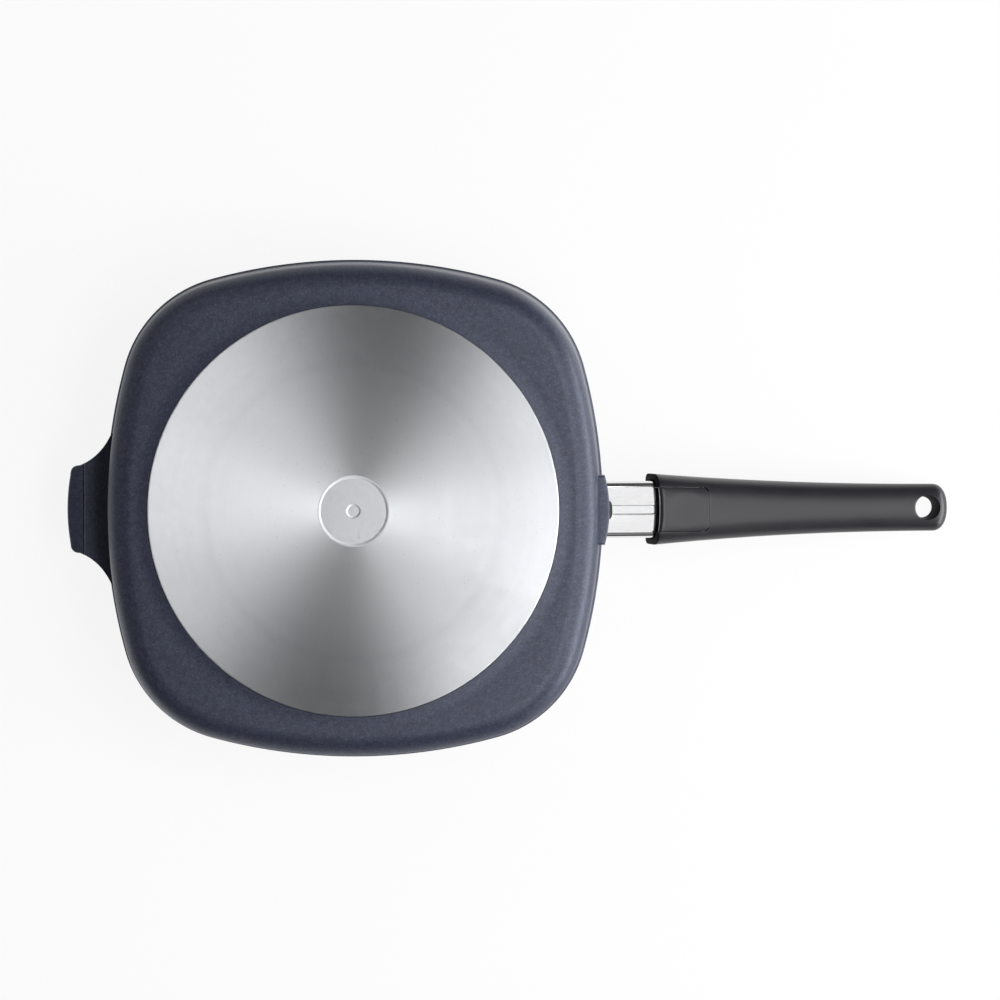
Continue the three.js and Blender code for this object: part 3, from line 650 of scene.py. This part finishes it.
def grip_ring(distance, inset=0, shrink=1):
    """Outer points: from one edge of the pocket over the top to the other, then along the underside."""
    u, w, bent = centreline(distance)
    width, top, bottom, top_squareness, low_squareness = grip_size(distance, inset, shrink)
    pocket_rear = POCKET_REAR - MOUTH
    scale = width / grip_size(pocket_rear)[0] if distance > pocket_rear else 1

    def turn_at(y):
        return math.acos(min(1, (abs(y) * scale / width)) ** (low_squareness / 2))

    edge = turn_at(POCKET_HALF)
    turns = [-edge * (1 - i / SIDE_STEPS) for i in range(SIDE_STEPS)]
    turns += [math.pi * i / TOP_STEPS for i in range(TOP_STEPS)]
    turns += [math.pi + edge * i / SIDE_STEPS for i in range(SIDE_STEPS + 1)]
    for y in UNDER[::-1]:
        angle = turn_at(y)
        turns.append(2 * math.pi - angle if y >= 0 else math.pi + angle)
    ring = []
    for a in turns:
        half, power = (top, 2 / top_squareness) if math.sin(a) > 0 else (bottom, 2 / low_squareness)
        across = width * signed_power(math.cos(a), power)
        height = half * signed_power(math.sin(a), power)
        ring.append((u + height * math.sin(bent), across, w + height * math.cos(bent)))
    return ring


def running_lengths(points):
    lengths = [0]
    for a, b in zip(points, points[1:]):
        lengths.append(lengths[-1] + math.dist(a, b))
    return lengths


def socket_ring(u, grow):
    """Inner points that match the outer ones: the arch by its length, the floor by its places across."""
    gap = SOCKET_GAP + grow
    width, height, radius = STUB_WIDTH + 2 * gap, STUB_THICKNESS + 2 * gap, STUB_CORNER + gap
    x, y = width / 2 - radius, height / 2 - radius
    low = arc((x, -y), radius, math.asin((POCKET_HALF - x) / radius) - QUARTER, 0, STUB_CORNER_STEPS)
    path = joined(
        low,
        arc((x, y), radius, 0, QUARTER, STUB_CORNER_STEPS),
        arc((-x, y), radius, QUARTER, math.pi, STUB_CORNER_STEPS),
        [(-a, b) for a, b in low[::-1]],
    )
    lengths = running_lengths(path)
    marks = running_lengths(grip_ring(ARCH_STATION)[:ARCH])
    ring = []
    k = 0
    for mark in marks:
        goal = mark / marks[-1] * lengths[-1]
        while k < len(path) - 2 and lengths[k + 1] < goal:
            k += 1
        t = (goal - lengths[k]) / (lengths[k + 1] - lengths[k])
        ring.append((u, *[path[k][i] + (path[k + 1][i] - path[k][i]) * t for i in (0, 1)]))
    ring += [(u, across, -height / 2) for across in UNDER[::-1]]
    return ring


def grip_shell():
    """Outer and inner rings with the pocket left open below, and faces that close the walls between."""
    turns = [QUARTER * i / MOUTH_STEPS for i in range(MOUTH_STEPS + 1)]
    stations = [(MOUTH_EDGE * (1 - math.cos(a)), MOUTH_EDGE * (1 - math.sin(a))) for a in turns]
    corner_start = POCKET_REAR - LEVER_CORNER - MOUTH
    for i in range(1, POCKET_STEPS + 1):
        stations.append((MOUTH_EDGE + (corner_start - MOUTH_EDGE) * i / POCKET_STEPS, 0))
    rear_row = len(stations)
    begin = SOCKET_END - MOUTH
    stations += [(POCKET_REAR - MOUTH, 0), (begin, 0)]
    socket_row = len(stations) - 1
    for i in range(1, BODY_STEPS + 1):
        stations.append((begin + (TAIL_START - begin) * i / BODY_STEPS, 0))
    rings = [grip_ring(distance, inset) for distance, inset in stations]
    for i in range(1, TAIL_STEPS + 1):
        along = math.sin(QUARTER * i / (TAIL_STEPS + 0.5))
        shrink = (1 - along ** TAIL_POWER) ** (1 / TAIL_POWER)
        rings.append(grip_ring(TAIL_START + TAIL_ROUND * along, 0, shrink))
    inner = []
    for distance, _ in stations[:socket_row + 1]:
        inner.append(socket_ring(MOUTH + distance, max(SOCKET_LIP - distance, 0)))
    for grid in (rings, inner):
        for column in (0, ARCH - 1):
            u, y, w = grid[rear_row][column]
            grid[rear_row][column] = (u - CORNER_CUT, math.copysign(POCKET_HALF - CORNER_CUT, y), w)
    points = [p for ring in rings + inner for p in ring]
    shift = len(rings) * COLUMNS
    faces = []

    def outer_at(row, column):
        return row * COLUMNS + column % COLUMNS

    def inner_at(row, column):
        return shift + outer_at(row, column)

    def strip(at, row, column):
        faces.append((at(row, column), at(row, column + 1), at(row + 1, column + 1), at(row + 1, column)))

    for column in range(COLUMNS):
        pocket = column >= ARCH - 1
        for row in range(len(rings) - 1):
            if not (pocket and row < rear_row):
                strip(outer_at, row, column)
        for row in range(socket_row):
            if not (pocket and row < rear_row):
                strip(inner_at, row, column)
        row = rear_row if pocket else 0
        faces.append((outer_at(row, column), outer_at(row, column + 1),
                      inner_at(row, column + 1), inner_at(row, column)))
    for row in range(rear_row):
        for column in (0, ARCH - 1):
            faces.append((outer_at(row, column), outer_at(row + 1, column),
                          inner_at(row + 1, column), inner_at(row, column)))
    faces.append(tuple(inner_at(socket_row, column) for column in range(COLUMNS)))
    tip_u, tip_w, _ = centreline(GRIP_LENGTH)
    tip = len(points)
    points.append((tip_u, 0, tip_w))
    for column in range(COLUMNS):
        faces.append((outer_at(len(rings) - 1, column), outer_at(len(rings) - 1, column + 1), tip))
    return made("grip_moulding", points, faces, STUB)


HOLE_INSET = 13.2
HOLE_RADIUS = 7.3
HOLE_TOP_RADIUS = 6.15
HOLE_FACE = 8.5
HOLE_EDGE = 1.2
HOLE_END = HOLE_FACE + 2


def hanging_eye():
    """Cutter for the hanging hole, flared at both ends so that the edges come out round."""
    u, w, bent = centreline(GRIP_LENGTH - HOLE_INSET)
    turns = [QUARTER * i / 6 for i in range(7)]
    flare = [(HOLE_EDGE * (1 - math.sin(a)), HOLE_EDGE * (1 - math.cos(a))) for a in turns]
    profile = [(0, -HOLE_END), (HOLE_RADIUS + HOLE_EDGE, -HOLE_END)]
    profile += [(HOLE_RADIUS + out, -HOLE_FACE + rise) for out, rise in flare]
    profile += [(HOLE_TOP_RADIUS + out, HOLE_FACE - rise) for out, rise in flare[::-1]]
    profile += [(HOLE_TOP_RADIUS + HOLE_EDGE, HOLE_END), (0, HOLE_END)]
    place = STUB @ Matrix.Translation((u, 0, w)) @ Matrix.Rotation(bent, 4, "Y")
    return lathe("eye", profile, 96, place)


PIN_U = 58.4
PIN_W = -10.5
PIN_BORE_RADIUS = 1.2
GRIP_PIN_BORE = 28.8
LEVER_PIN_BORE = 80
HEEL_HALF = 8
HEEL_END = 63.8
HEEL_THICKNESS = 1.6
HEEL_GAP = 0.25
HEEL_ROOM_BELOW = 1.5
HEEL_ROOM_ABOVE = 1.1
CATCH_SCREW_SIDES = (5.8, -5.8)
CATCH_SCREW_W = 1.5
CATCH_BORE_RADIUS = 1.65
CATCH_BORE_START = 61
CATCH_BORE_END = 72


def pin_bore(name, length):
    place = STUB @ Matrix.Translation((PIN_U, 0, PIN_W)) @ Matrix.Rotation(QUARTER, 4, "X")
    return cylinder(name, PIN_BORE_RADIUS, -length / 2, length / 2, 32, place)


def catch_bore(side):
    place = STUB @ Matrix.Translation((0, side, CATCH_SCREW_W)) @ Matrix.Rotation(QUARTER, 4, "Y")
    return cylinder("catch_bore", CATCH_BORE_RADIUS, CATCH_BORE_START, CATCH_BORE_END, 24, place)


# Tolerances for telling inner faces from outer ones: lengths, then parts of a unit normal
GAP_MARGIN = 0.04
SOCKET_MARGIN = 0.1
HOLE_MARGIN = 0.6
HOLE_WALL_TILT = 0.6
MOUTH_FACING = -0.35


def inside_grip(face):
    """True for the socket, the mouth's front edge, the lever's pocket and the wall of the hanging hole,
    which get the darker, nearly unreflective black as painted shade.
    """
    u, y, w = STUB.inverted() @ (face.center / MM)
    turned_u, turned_y, turned_w = STUB.to_3x3().transposed() @ face.normal
    eye_u, _, bent = centreline(GRIP_LENGTH - HOLE_INSET)
    along_eye = turned_u * math.sin(bent) + turned_w * math.cos(bent)
    bored = math.hypot(u - eye_u, y) < HOLE_RADIUS + HOLE_MARGIN and abs(along_eye) < HOLE_WALL_TILT
    inwards = turned_u < MOUTH_FACING or turned_y * y + turned_w * w < 0
    socket = u < SOCKET_END + SOCKET_MARGIN and inwards
    pocket = w < 0 and u < POCKET_REAR + GAP_MARGIN and abs(y) < POCKET_HALF + GAP_MARGIN
    return bored or socket or pocket


grip = soften(grip_shell(), MOULD_EDGE)
carve(grip, hanging_eye())
carve(grip, stub_box(
    "heel_room",
    (PIN_U, -HEEL_HALF - HEEL_GAP, PIN_W - HEEL_ROOM_BELOW),
    (HEEL_END + HEEL_GAP, HEEL_HALF + HEEL_GAP, PIN_W + HEEL_ROOM_ABOVE),
))
carve(grip, pin_bore("pin_bore", GRIP_PIN_BORE))
for side in CATCH_SCREW_SIDES:
    carve(grip, catch_bore(side))
smooth(grip)


# Release lever: the grip's own underside with a finger dish

LEVER_ROWS = 30
LEVER_SIDE_COLUMNS = 16
FRONT_BOW = 0.9
FRONT_LIFT = 0.9
FRONT_LIFT_LENGTH = 2.4
DISH_U = 47.2
DISH_DEPTH = 0.5
DISH_HALF_LENGTH = 13
DISH_HALF_WIDTH = 10.5
DISH_POWER = 1.2
HINGE_RADIUS = 2
HINGE_HALF = 10.1
HINGE_FOOT = LEVER_INNER - 0.3
NUB_HALF = 1.8
NUB_LENGTH = 3.5
NUB_LOW = -14
NUB_HIGH = -8.6


def lever_rear(y):
    """The lever's rear end, with its two corners cut off."""
    return LEVER_REAR - max(0, abs(y) - (LEVER_HALF - LEVER_CORNER))


def lever_low(u, y, front):
    """Height of the lever's lower face: dished, and lifted towards its front edge."""
    spread = ((u - DISH_U) / DISH_HALF_LENGTH) ** 2 + (y / DISH_HALF_WIDTH) ** 2
    dish = DISH_DEPTH * max(0, 1 - spread) ** DISH_POWER
    lift = FRONT_LIFT * max(0, 1 - (u - front) / FRONT_LIFT_LENGTH) ** 2
    return underside(u, y) + dish + lift


def lever_plate():
    ys = [LEVER_HALF * i / LEVER_SIDE_COLUMNS for i in range(-LEVER_SIDE_COLUMNS, LEVER_SIDE_COLUMNS + 1)]
    lower = []
    for y in ys:
        front = LEVER_FRONT + FRONT_BOW * (1 - (y / LEVER_HALF) ** 2)
        for k in range(LEVER_ROWS + 1):
            u = front + (lever_rear(y) - front) * k / LEVER_ROWS
            lower.append((u, y, lever_low(u, y, front)))
    points = lower + [(u, y, LEVER_INNER) for u, y, _ in lower]
    count = LEVER_ROWS + 1
    size = len(lower)
    faces = []
    for j in range(len(ys) - 1):
        for k in range(LEVER_ROWS):
            a = j * count + k
            faces.append((a, a + 1, a + count + 1, a + count))
            faces.append((size + a, size + a + 1, size + a + count + 1, size + a + count))
    border = list(range(count))
    border += [j * count + LEVER_ROWS for j in range(1, len(ys))]
    border += [(len(ys) - 1) * count + k for k in range(LEVER_ROWS - 1, -1, -1)]
    border += [j * count for j in range(len(ys) - 2, 0, -1)]
    for i, a in enumerate(border):
        b = border[(i + 1) % len(border)]
        faces.append((a, b, size + b, size + a))
    return made("lever_moulding", points, faces, STUB)


def hinge_block():
    """The lever's web with the round eye that the pin goes through."""
    eye = arc((PIN_U, PIN_W), HINGE_RADIUS, 0, math.pi, 20)
    section = [(PIN_U + HINGE_RADIUS, HINGE_FOOT)] + eye + [(PIN_U - HINGE_RADIUS, HINGE_FOOT)]
    return prism("hinge_block", section, -HINGE_HALF, HINGE_HALF, STUB @ UPRIGHT)


def lever_edge(face):
    """True for the walls of the gap round the lever, which get the darker, nearly unreflective black as
    painted shade.
    """
    u, y, _ = STUB.inverted() @ (face.center / MM)
    return abs(y) > LEVER_HALF - GAP_MARGIN or u > lever_rear(y) - GAP_MARGIN


lever = soften(lever_plate(), MOULD_EDGE)
carve(lever, hinge_block(), "UNION")
carve(lever, stub_box(
    "heel",
    (PIN_U, -HEEL_HALF, PIN_W - HEEL_THICKNESS / 2),
    (HEEL_END, HEEL_HALF, PIN_W + HEEL_THICKNESS / 2),
), "UNION")
carve(lever, stub_box(
    "nub", (TOOTH_FRONT, -NUB_HALF, NUB_LOW), (TOOTH_FRONT + NUB_LENGTH, NUB_HALF, NUB_HIGH),
), "UNION")
carve(lever, pin_bore("lever_bore", LEVER_PIN_BORE))
smooth(lever)


# Catch spring: a flat leaf with its tooth and tab; on the pan the leaf bends when the lever lifts the tooth

TAB_FRONT = 61.5
TAB_BACK = 62.7
TAB_HALF = 9.5
TAB_TOP = 5.5
LEAF_LOW = -6.4
LEAF_HIGH = -5.6
LEAF_MIDDLE = (LEAF_LOW + LEAF_HIGH) / 2
LEAF_HALF = 6
LEAF_STEPS = 32
LEAF_EDGE = 0.12
LEAF_OVERLAP = 0.05


def catch_leaf():
    corners = ((-1, LEAF_LOW), (1, LEAF_LOW), (1, LEAF_HIGH), (-1, LEAF_HIGH))
    outline = [(side * LEAF_HALF, w) for side, w in corners]
    start, end = TOOTH_FRONT + LEAF_OVERLAP, (TAB_FRONT + TAB_BACK) / 2
    stations = [(start + (end - start) * i / LEAF_STEPS, outline) for i in range(LEAF_STEPS + 1)]
    leaf = extruded("catch_leaf", stations)
    carve(leaf, stub_box(
        "tooth",
        (TOOTH_FRONT, -TOOTH_HALF, TOOTH_LOW),
        (TOOTH_FRONT + TOOTH_LENGTH, TOOTH_HALF, LEAF_MIDDLE),
    ), "UNION")
    carve(leaf, stub_box(
        "tab", (TAB_FRONT, -TAB_HALF, LEAF_LOW - LEAF_OVERLAP), (TAB_BACK, TAB_HALF, TAB_TOP),
    ), "UNION")
    for side in CATCH_SCREW_SIDES:
        carve(leaf, catch_bore(side))
    return smooth(soften(leaf, LEAF_EDGE))


leaf = catch_leaf()


# Materials

def look(name, **values):
    material = bpy.data.materials.new(name)
    material.use_nodes = True
    shader = material.node_tree.nodes["Principled BSDF"]
    for key, value in values.items():
        shader.inputs[key.replace("_", " ")].default_value = value
    return material, shader


def add(owner, kind, inputs=None, **settings):
    """A node in the tree of a material or world, with its inputs linked or set."""
    node = owner.node_tree.nodes.new("ShaderNode" + kind)
    for key, value in settings.items():
        setattr(node, key, value)
    for key, value in (inputs or {}).items():
        if isinstance(value, bpy.types.NodeSocket):
            link(owner, value, node.inputs[key])
        else:
            node.inputs[key].default_value = value
    return node


def link(owner, source, target):
    owner.node_tree.links.new(source, target)


def places(material):
    return add(material, "TexCoord").outputs["Object"]


def noise(material, at, scale, detail):
    return add(material, "TexNoise", {"Vector": at, "Scale": scale, "Detail": detail}).outputs["Fac"]


def ring_noise(material, radius, scale, detail):
    node = add(material, "TexNoise", {"W": radius, "Scale": scale, "Detail": detail}, noise_dimensions="1D")
    return node.outputs["Fac"]


def combined(owner, operation, first, second):
    return add(owner, "Math", {0: first, 1: second}, operation=operation).outputs["Value"]


def ranged(owner, value, low, high, to_low, to_high):
    node = add(owner, "MapRange", {
        "Value": value, "From Min": low, "From Max": high, "To Min": to_low, "To Max": to_high,
    })
    return node.outputs["Result"]


def mixed(material, share, first, second):
    node = add(material, "Mix", data_type="RGBA")
    colours = [socket for socket in node.inputs if socket.type == "RGBA"]
    link(material, share, node.inputs[0])
    for socket, value in zip(colours, (first, second)):
        if isinstance(value, bpy.types.NodeSocket):
            link(material, value, socket)
        else:
            socket.default_value = (*value, 1)
    return [socket for socket in node.outputs if socket.type == "RGBA"][0]


def toned(colour, factor):
    return [min(c * factor, 0.98) for c in colour]


def bumped(material, shader, height, strength, distance):
    bump = add(material, "Bump", {"Height": height, "Strength": strength, "Distance": distance})
    link(material, bump.outputs["Normal"], shader.inputs["Normal"])


def coat_look(name, dark, light, roughness, grain):
    """Fired coat: fine pale specks in a dark ground, a little cloudy, over a sandy surface."""
    material, shader = look(name, Metallic=0.25, IOR=1.5)
    at = places(material)
    flakes = add(material, "TexVoronoi", {"Vector": at, "Scale": grain})
    glint = add(material, "SeparateColor", {"Color": flakes.outputs["Color"]}).outputs["Red"]
    cloud = noise(material, at, 340, 6)
    sand = noise(material, at, 700, 3)
    speck = ranged(material, glint, 0.65, 1, 0, 0.6)
    clouded = ranged(material, cloud, 0.3, 0.7, 0, 1)
    shade = mixed(material, clouded, toned(dark, 0.8), toned(dark, 1.2))
    link(material, mixed(material, speck, shade, light), shader.inputs["Base Color"])
    uneven = ranged(material, sand, 0.3, 0.7, roughness - 0.05, roughness + 0.05)
    link(material, uneven, shader.inputs["Roughness"])
    bumped(material, shader, sand, 0.2, 0.0001)
    return material


def radius_of(material, at):
    flat = add(material, "VectorMath", {0: at, 1: (1, 1, 0)}, operation="MULTIPLY").outputs["Vector"]
    return add(material, "VectorMath", {0: flat}, operation="LENGTH").outputs["Value"]


def turned_look():
    """Turned aluminium: rings about the middle, casting pores, and duller towards the stamp, where its
    colour is also lighter as a painted sheen.
    """
    material, shader = look("turned_aluminium", Metallic=1, Anisotropic=0.95, Anisotropic_Rotation=0.25)
    at = places(material)
    radius = radius_of(material, at)
    fine = ring_noise(material, radius, 1400, 3)
    wide = ring_noise(material, radius, 170, 2)
    cells = add(material, "TexVoronoi", {"Vector": at, "Scale": 480})
    chance = add(material, "SeparateColor", {"Color": cells.outputs["Color"]}).outputs["Green"]
    near = ranged(material, cells.outputs["Distance"], 0.06, 0.18, 0.45, 0)
    rare = ranged(material, chance, 0.84, 0.9, 0, 1)
    pores = combined(material, "MULTIPLY", near, rare)
    cloud = noise(material, at, 140, 5)
    turns = mixed(material, wide, (0.618, 0.63, 0.652), (0.643, 0.655, 0.677))
    shade = mixed(material, wide, (0.591, 0.605, 0.632), (0.615, 0.629, 0.656))
    tone = mixed(material, ranged(material, cloud, 0.35, 0.65, 0, 1), shade, turns)
    # Lighter colour towards the middle: painted sheen, not a different metal
    tone = mixed(material, ranged(material, radius, 0.02, 0.085, 1, 0), tone, (0.87, 0.885, 0.905))
    link(material, mixed(material, pores, tone, (0.2, 0.2, 0.205)), shader.inputs["Base Color"])
    rough = ranged(material, radius, 0.02, 0.11, 0.66, 0.41)
    vary = ranged(material, fine, 0.3, 0.7, -0.03, 0.03)
    patchy = ranged(material, cloud, 0.35, 0.65, -0.025, 0.025)
    for change in (vary, patchy):
        rough = combined(material, "ADD", rough, change)
    link(material, rough, shader.inputs["Roughness"])
    bumped(material, shader, fine, 0.08, 0.00004)
    tangent = add(material, "Tangent", direction_type="RADIAL", axis="Z")
    link(material, tangent.outputs["Tangent"], shader.inputs["Tangent"])
    return material


def metal_look(name, colour, roughness, stretch, grain, relief=0.04, vary=0.2):
    """Metal with fine streaks along one direction of the part."""
    material, shader = look(name, Metallic=1)
    drawn = add(material, "Mapping", {"Vector": places(material), "Scale": stretch}).outputs["Vector"]
    streak = noise(material, drawn, grain, 4)
    tone = mixed(material, streak, toned(colour, 0.94), toned(colour, 1.06))
    link(material, tone, shader.inputs["Base Color"])
    uneven = ranged(material, streak, 0.3, 0.7, roughness * (1 - vary), roughness * (1 + vary))
    link(material, uneven, shader.inputs["Roughness"])
    if relief:
        bumped(material, shader, streak, relief, 0.00004)
    return material


def moulded_look(name, colour, roughness, strength, shine=0.46):
    """Moulded black: slightly cloudy, with a fine grain."""
    material, shader = look(name, IOR=1.5, Specular_IOR_Level=shine)
    at = places(material)
    grain = noise(material, at, 1900, 3)
    cloud = noise(material, at, 70, 4)
    tone = mixed(material, cloud, toned(colour, 0.85), toned(colour, 1.15))
    link(material, tone, shader.inputs["Base Color"])
    uneven = ranged(material, cloud, 0.3, 0.7, roughness - 0.03, roughness + 0.04)
    link(material, uneven, shader.inputs["Roughness"])
    bumped(material, shader, grain, strength, 0.00006)
    return material


coat = coat_look("coat_blue_grey", (0.034, 0.040, 0.068), (0.076, 0.085, 0.126), 0.46, 1350)
turned = turned_look()
stamped = metal_look("stamped_aluminium", (0.585, 0.595, 0.615), 0.42, (1, 1, 1), 500)
polished = metal_look("polished_steel", (0.83, 0.83, 0.84), 0.07, (0.1, 1, 1), 900, 0, 0.06)
bright = metal_look("bright_core", (0.84, 0.84, 0.85), 0.08, (0.1, 1, 1), 700, 0, 0.06)
plain = metal_look("plain_steel", (0.52, 0.53, 0.54), 0.32, (1, 1, 1), 500)
spring = metal_look("spring_steel", (0.42, 0.43, 0.46), 0.3, (0.2, 1, 1), 500)
black_grip = moulded_look("grip_black", (0.0125, 0.012, 0.0155), 0.37, 0.2)
# Darker, nearly unreflective black for the socket, the mouth's edge, the hanging hole and the gaps round
# the lever: painted shade in these hollows
painted_shade_black = moulded_look("grip_painted_shade", (0.008, 0.008, 0.009), 0.7, 0.3, 0.05)
black_lever = moulded_look("lever_black", (0.0125, 0.012, 0.0155), 0.36, 0.18)
black_rubber = moulded_look("gasket_black", (0.012, 0.012, 0.013), 0.6, 0.4)


def give(piece, slot, node, *looks):
    piece.data.materials.clear()
    for material in looks:
        piece.data.materials.append(material)
    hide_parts(node)
    return piece


def use_second_look(piece, chosen):
    """The piece's second material on the faces for which chosen is true."""
    for face in piece.data.polygons:
        if chosen(face):
            face.material_index = 1


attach(give(casting, "pan_coating", "pan_body", coat), "pan")
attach(give(base, "turned_aluminium", "pan_body", turned, stamped), "pan")
use_second_look(base, stamp_face)
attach(give(sleeve, "polished_steel", "stub_sleeve", polished), "pan")
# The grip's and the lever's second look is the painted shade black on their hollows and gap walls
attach(give(grip, "grip_black", "handle_grip", black_grip, painted_shade_black), "handle")
use_second_look(grip, inside_grip)
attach(give(lever, "lever_black", "release_lever", black_lever, painted_shade_black), "lever")
use_second_look(lever, lever_edge)
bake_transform(give(leaf, "spring_steel", "catch_spring", spring))

# Nodes that keep their own shape
CARRIED = {
    "boss_gasket": black_rubber,
    "stub_core": bright,
    "stub_screw_left": plain,
    "stub_screw_right": plain,
    "stub_washer_left": plain,
    "stub_washer_right": plain,
    "lever_pin": plain,
    "catch_screw_left": plain,
    "catch_screw_right": plain,
}
for node, material in CARRIED.items():
    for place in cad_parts[node].material_slots:
        place.material = material


# Stage: a floor that shows from above and a backdrop that shows from below, both pale

STAGE_HALF = 6.0
STAGE_GLOW = 0.88
FLOOR_Z = -0.0006
BACKDROP_Z = 0.084


def seen_rays(owner):
    """1 for the rays of the camera, of reflections and of clear materials, 0 for all others."""
    path = add(owner, "LightPath")
    seen = path.outputs["Is Camera Ray"]
    for ray in ("Is Glossy Ray", "Is Transmission Ray"):
        seen = combined(owner, "MAXIMUM", seen, path.outputs[ray])
    return seen


def stage_look(name):
    """Pale and partly glowing on the front of a sheet, and clear on its back."""
    material = bpy.data.materials.new(name)
    material.use_nodes = True
    material.node_tree.nodes.clear()
    matt = add(material, "BsdfDiffuse", {"Color": (0.9, 0.9, 0.9, 1)})
    white = add(material, "Emission", {"Color": (1, 1, 1, 1), "Strength": 1})
    share = combined(material, "MULTIPLY", seen_rays(material), STAGE_GLOW)
    pale = add(material, "MixShader", {0: share, 1: matt.outputs[0], 2: white.outputs[0]})
    clear = add(material, "BsdfTransparent")
    back = add(material, "NewGeometry").outputs["Backfacing"]
    both = add(material, "MixShader", {0: back, 1: pale.outputs[0], 2: clear.outputs[0]})
    out = add(material, "OutputMaterial")
    link(material, both.outputs[0], out.inputs["Surface"])
    return material


def sheet(name, z, upwards):
    half = STAGE_HALF
    corners = [(-half, -half, z), (half, -half, z), (half, half, z), (-half, half, z)]
    mesh = bpy.data.meshes.new(name)
    mesh.from_pydata(corners, [], [(0, 1, 2, 3) if upwards else (3, 2, 1, 0)])
    piece = bpy.data.objects.new(name, mesh)
    bpy.context.scene.collection.objects.link(piece)
    mesh.materials.append(stage_look(name))
    piece.visible_shadow = False
    piece.visible_diffuse = False
    return piece


floor = sheet("floor", FLOOR_Z, True)
floor.visible_glossy = False
sheet("backdrop", BACKDROP_Z, False)


# Lamps: name, place, size and power, and where each one points

def softbox(name, place, size, power, aim=(0.08, 0, 0.02)):
    light = bpy.data.lights.new(name, "AREA")
    light.shape = "RECTANGLE"
    light.size, light.size_y = size
    light.energy = power
    lamp = bpy.data.objects.new(name, light)
    bpy.context.scene.collection.objects.link(lamp)
    lamp.location = place
    lamp.rotation_mode = "QUATERNION"
    lamp.rotation_quaternion = (Vector(aim) - Vector(place)).to_track_quat("-Z", "Y")
    lamp.visible_camera = False


softbox("right_wide", (1.32, 0.2, -0.93), (1.0, 0.75), 7.3)
softbox("right_axis", (0.57, 0.14, -1.42), (1.5, 0.5), 11.5)
softbox("right_fill", (0.84, 0.06, -1.08), (0.5, 0.26), 0.37, (0.17, 0, 0.03))
softbox("right_low", (1.15, 0.12, -0.11), (1.4, 0.26), 14)
softbox("low_right", (0.42, 0.68, -0.75), (0.5, 0.4), 0.3)
softbox("high_right", (0.42, -0.36, -1.4), (0.35, 0.35), 1.3)
softbox("lower_axis", (0.44, 0.34, -1.42), (0.4, 0.4), 1.2)
softbox("high_left", (-0.7, -1.05, -1.1), (1.2, 0.9), 2.5)
softbox("left_low", (-1.2, -0.1, -0.45), (0.9, 0.35), 0.6)
softbox("right_above", (1.5, -1.3, 2.0), (1.6, 1.6), 42)
softbox("left_above", (-1.6, 1.2, 1.8), (1.5, 1.5), 24)

# World: white above the horizon for the rays that see it, and a dim even light for all others
WORLD_LIGHT = 0.085
HORIZON = 0.01
world = bpy.data.worlds.new("studio")
bpy.context.scene.world = world
world.use_nodes = True
background = world.node_tree.nodes["Background"]
background.inputs["Color"].default_value = (1, 1, 1, 1)
directions = add(world, "TexCoord").outputs["Generated"]
height = add(world, "SeparateXYZ", {"Vector": directions}).outputs["Z"]
upper = ranged(world, height, -HORIZON, HORIZON, 0, 1)
sky = combined(world, "MULTIPLY", seen_rays(world), upper)
link(world, ranged(world, sky, 0, 1, WORLD_LIGHT, 1), background.inputs["Strength"])

# Camera: looks up at the underside, with the handle to the right
camera_data = bpy.data.cameras.new("camera")
camera = bpy.data.objects.new("camera", camera_data)
bpy.context.scene.collection.objects.link(camera)
bpy.context.scene.camera = camera
eye = Vector((0.03675, -0.08065, -2.57))
aim = Vector((0.084, -0.00636, 0))
forward = (aim - eye).normalized()
right = forward.cross(Vector((0, -1, 0))).normalized()
up = right.cross(forward)
camera.matrix_world = Matrix((
    (right.x, up.x, -forward.x, eye.x),
    (right.y, up.y, -forward.y, eye.y),
    (right.z, up.z, -forward.z, eye.z),
    (0, 0, 0, 1),
))
camera_data.sensor_width = 36
camera_data.lens = 161.55
camera_data.clip_start = 0.05
camera_data.clip_end = 50

bpy.context.scene.view_settings.view_transform = "Standard"
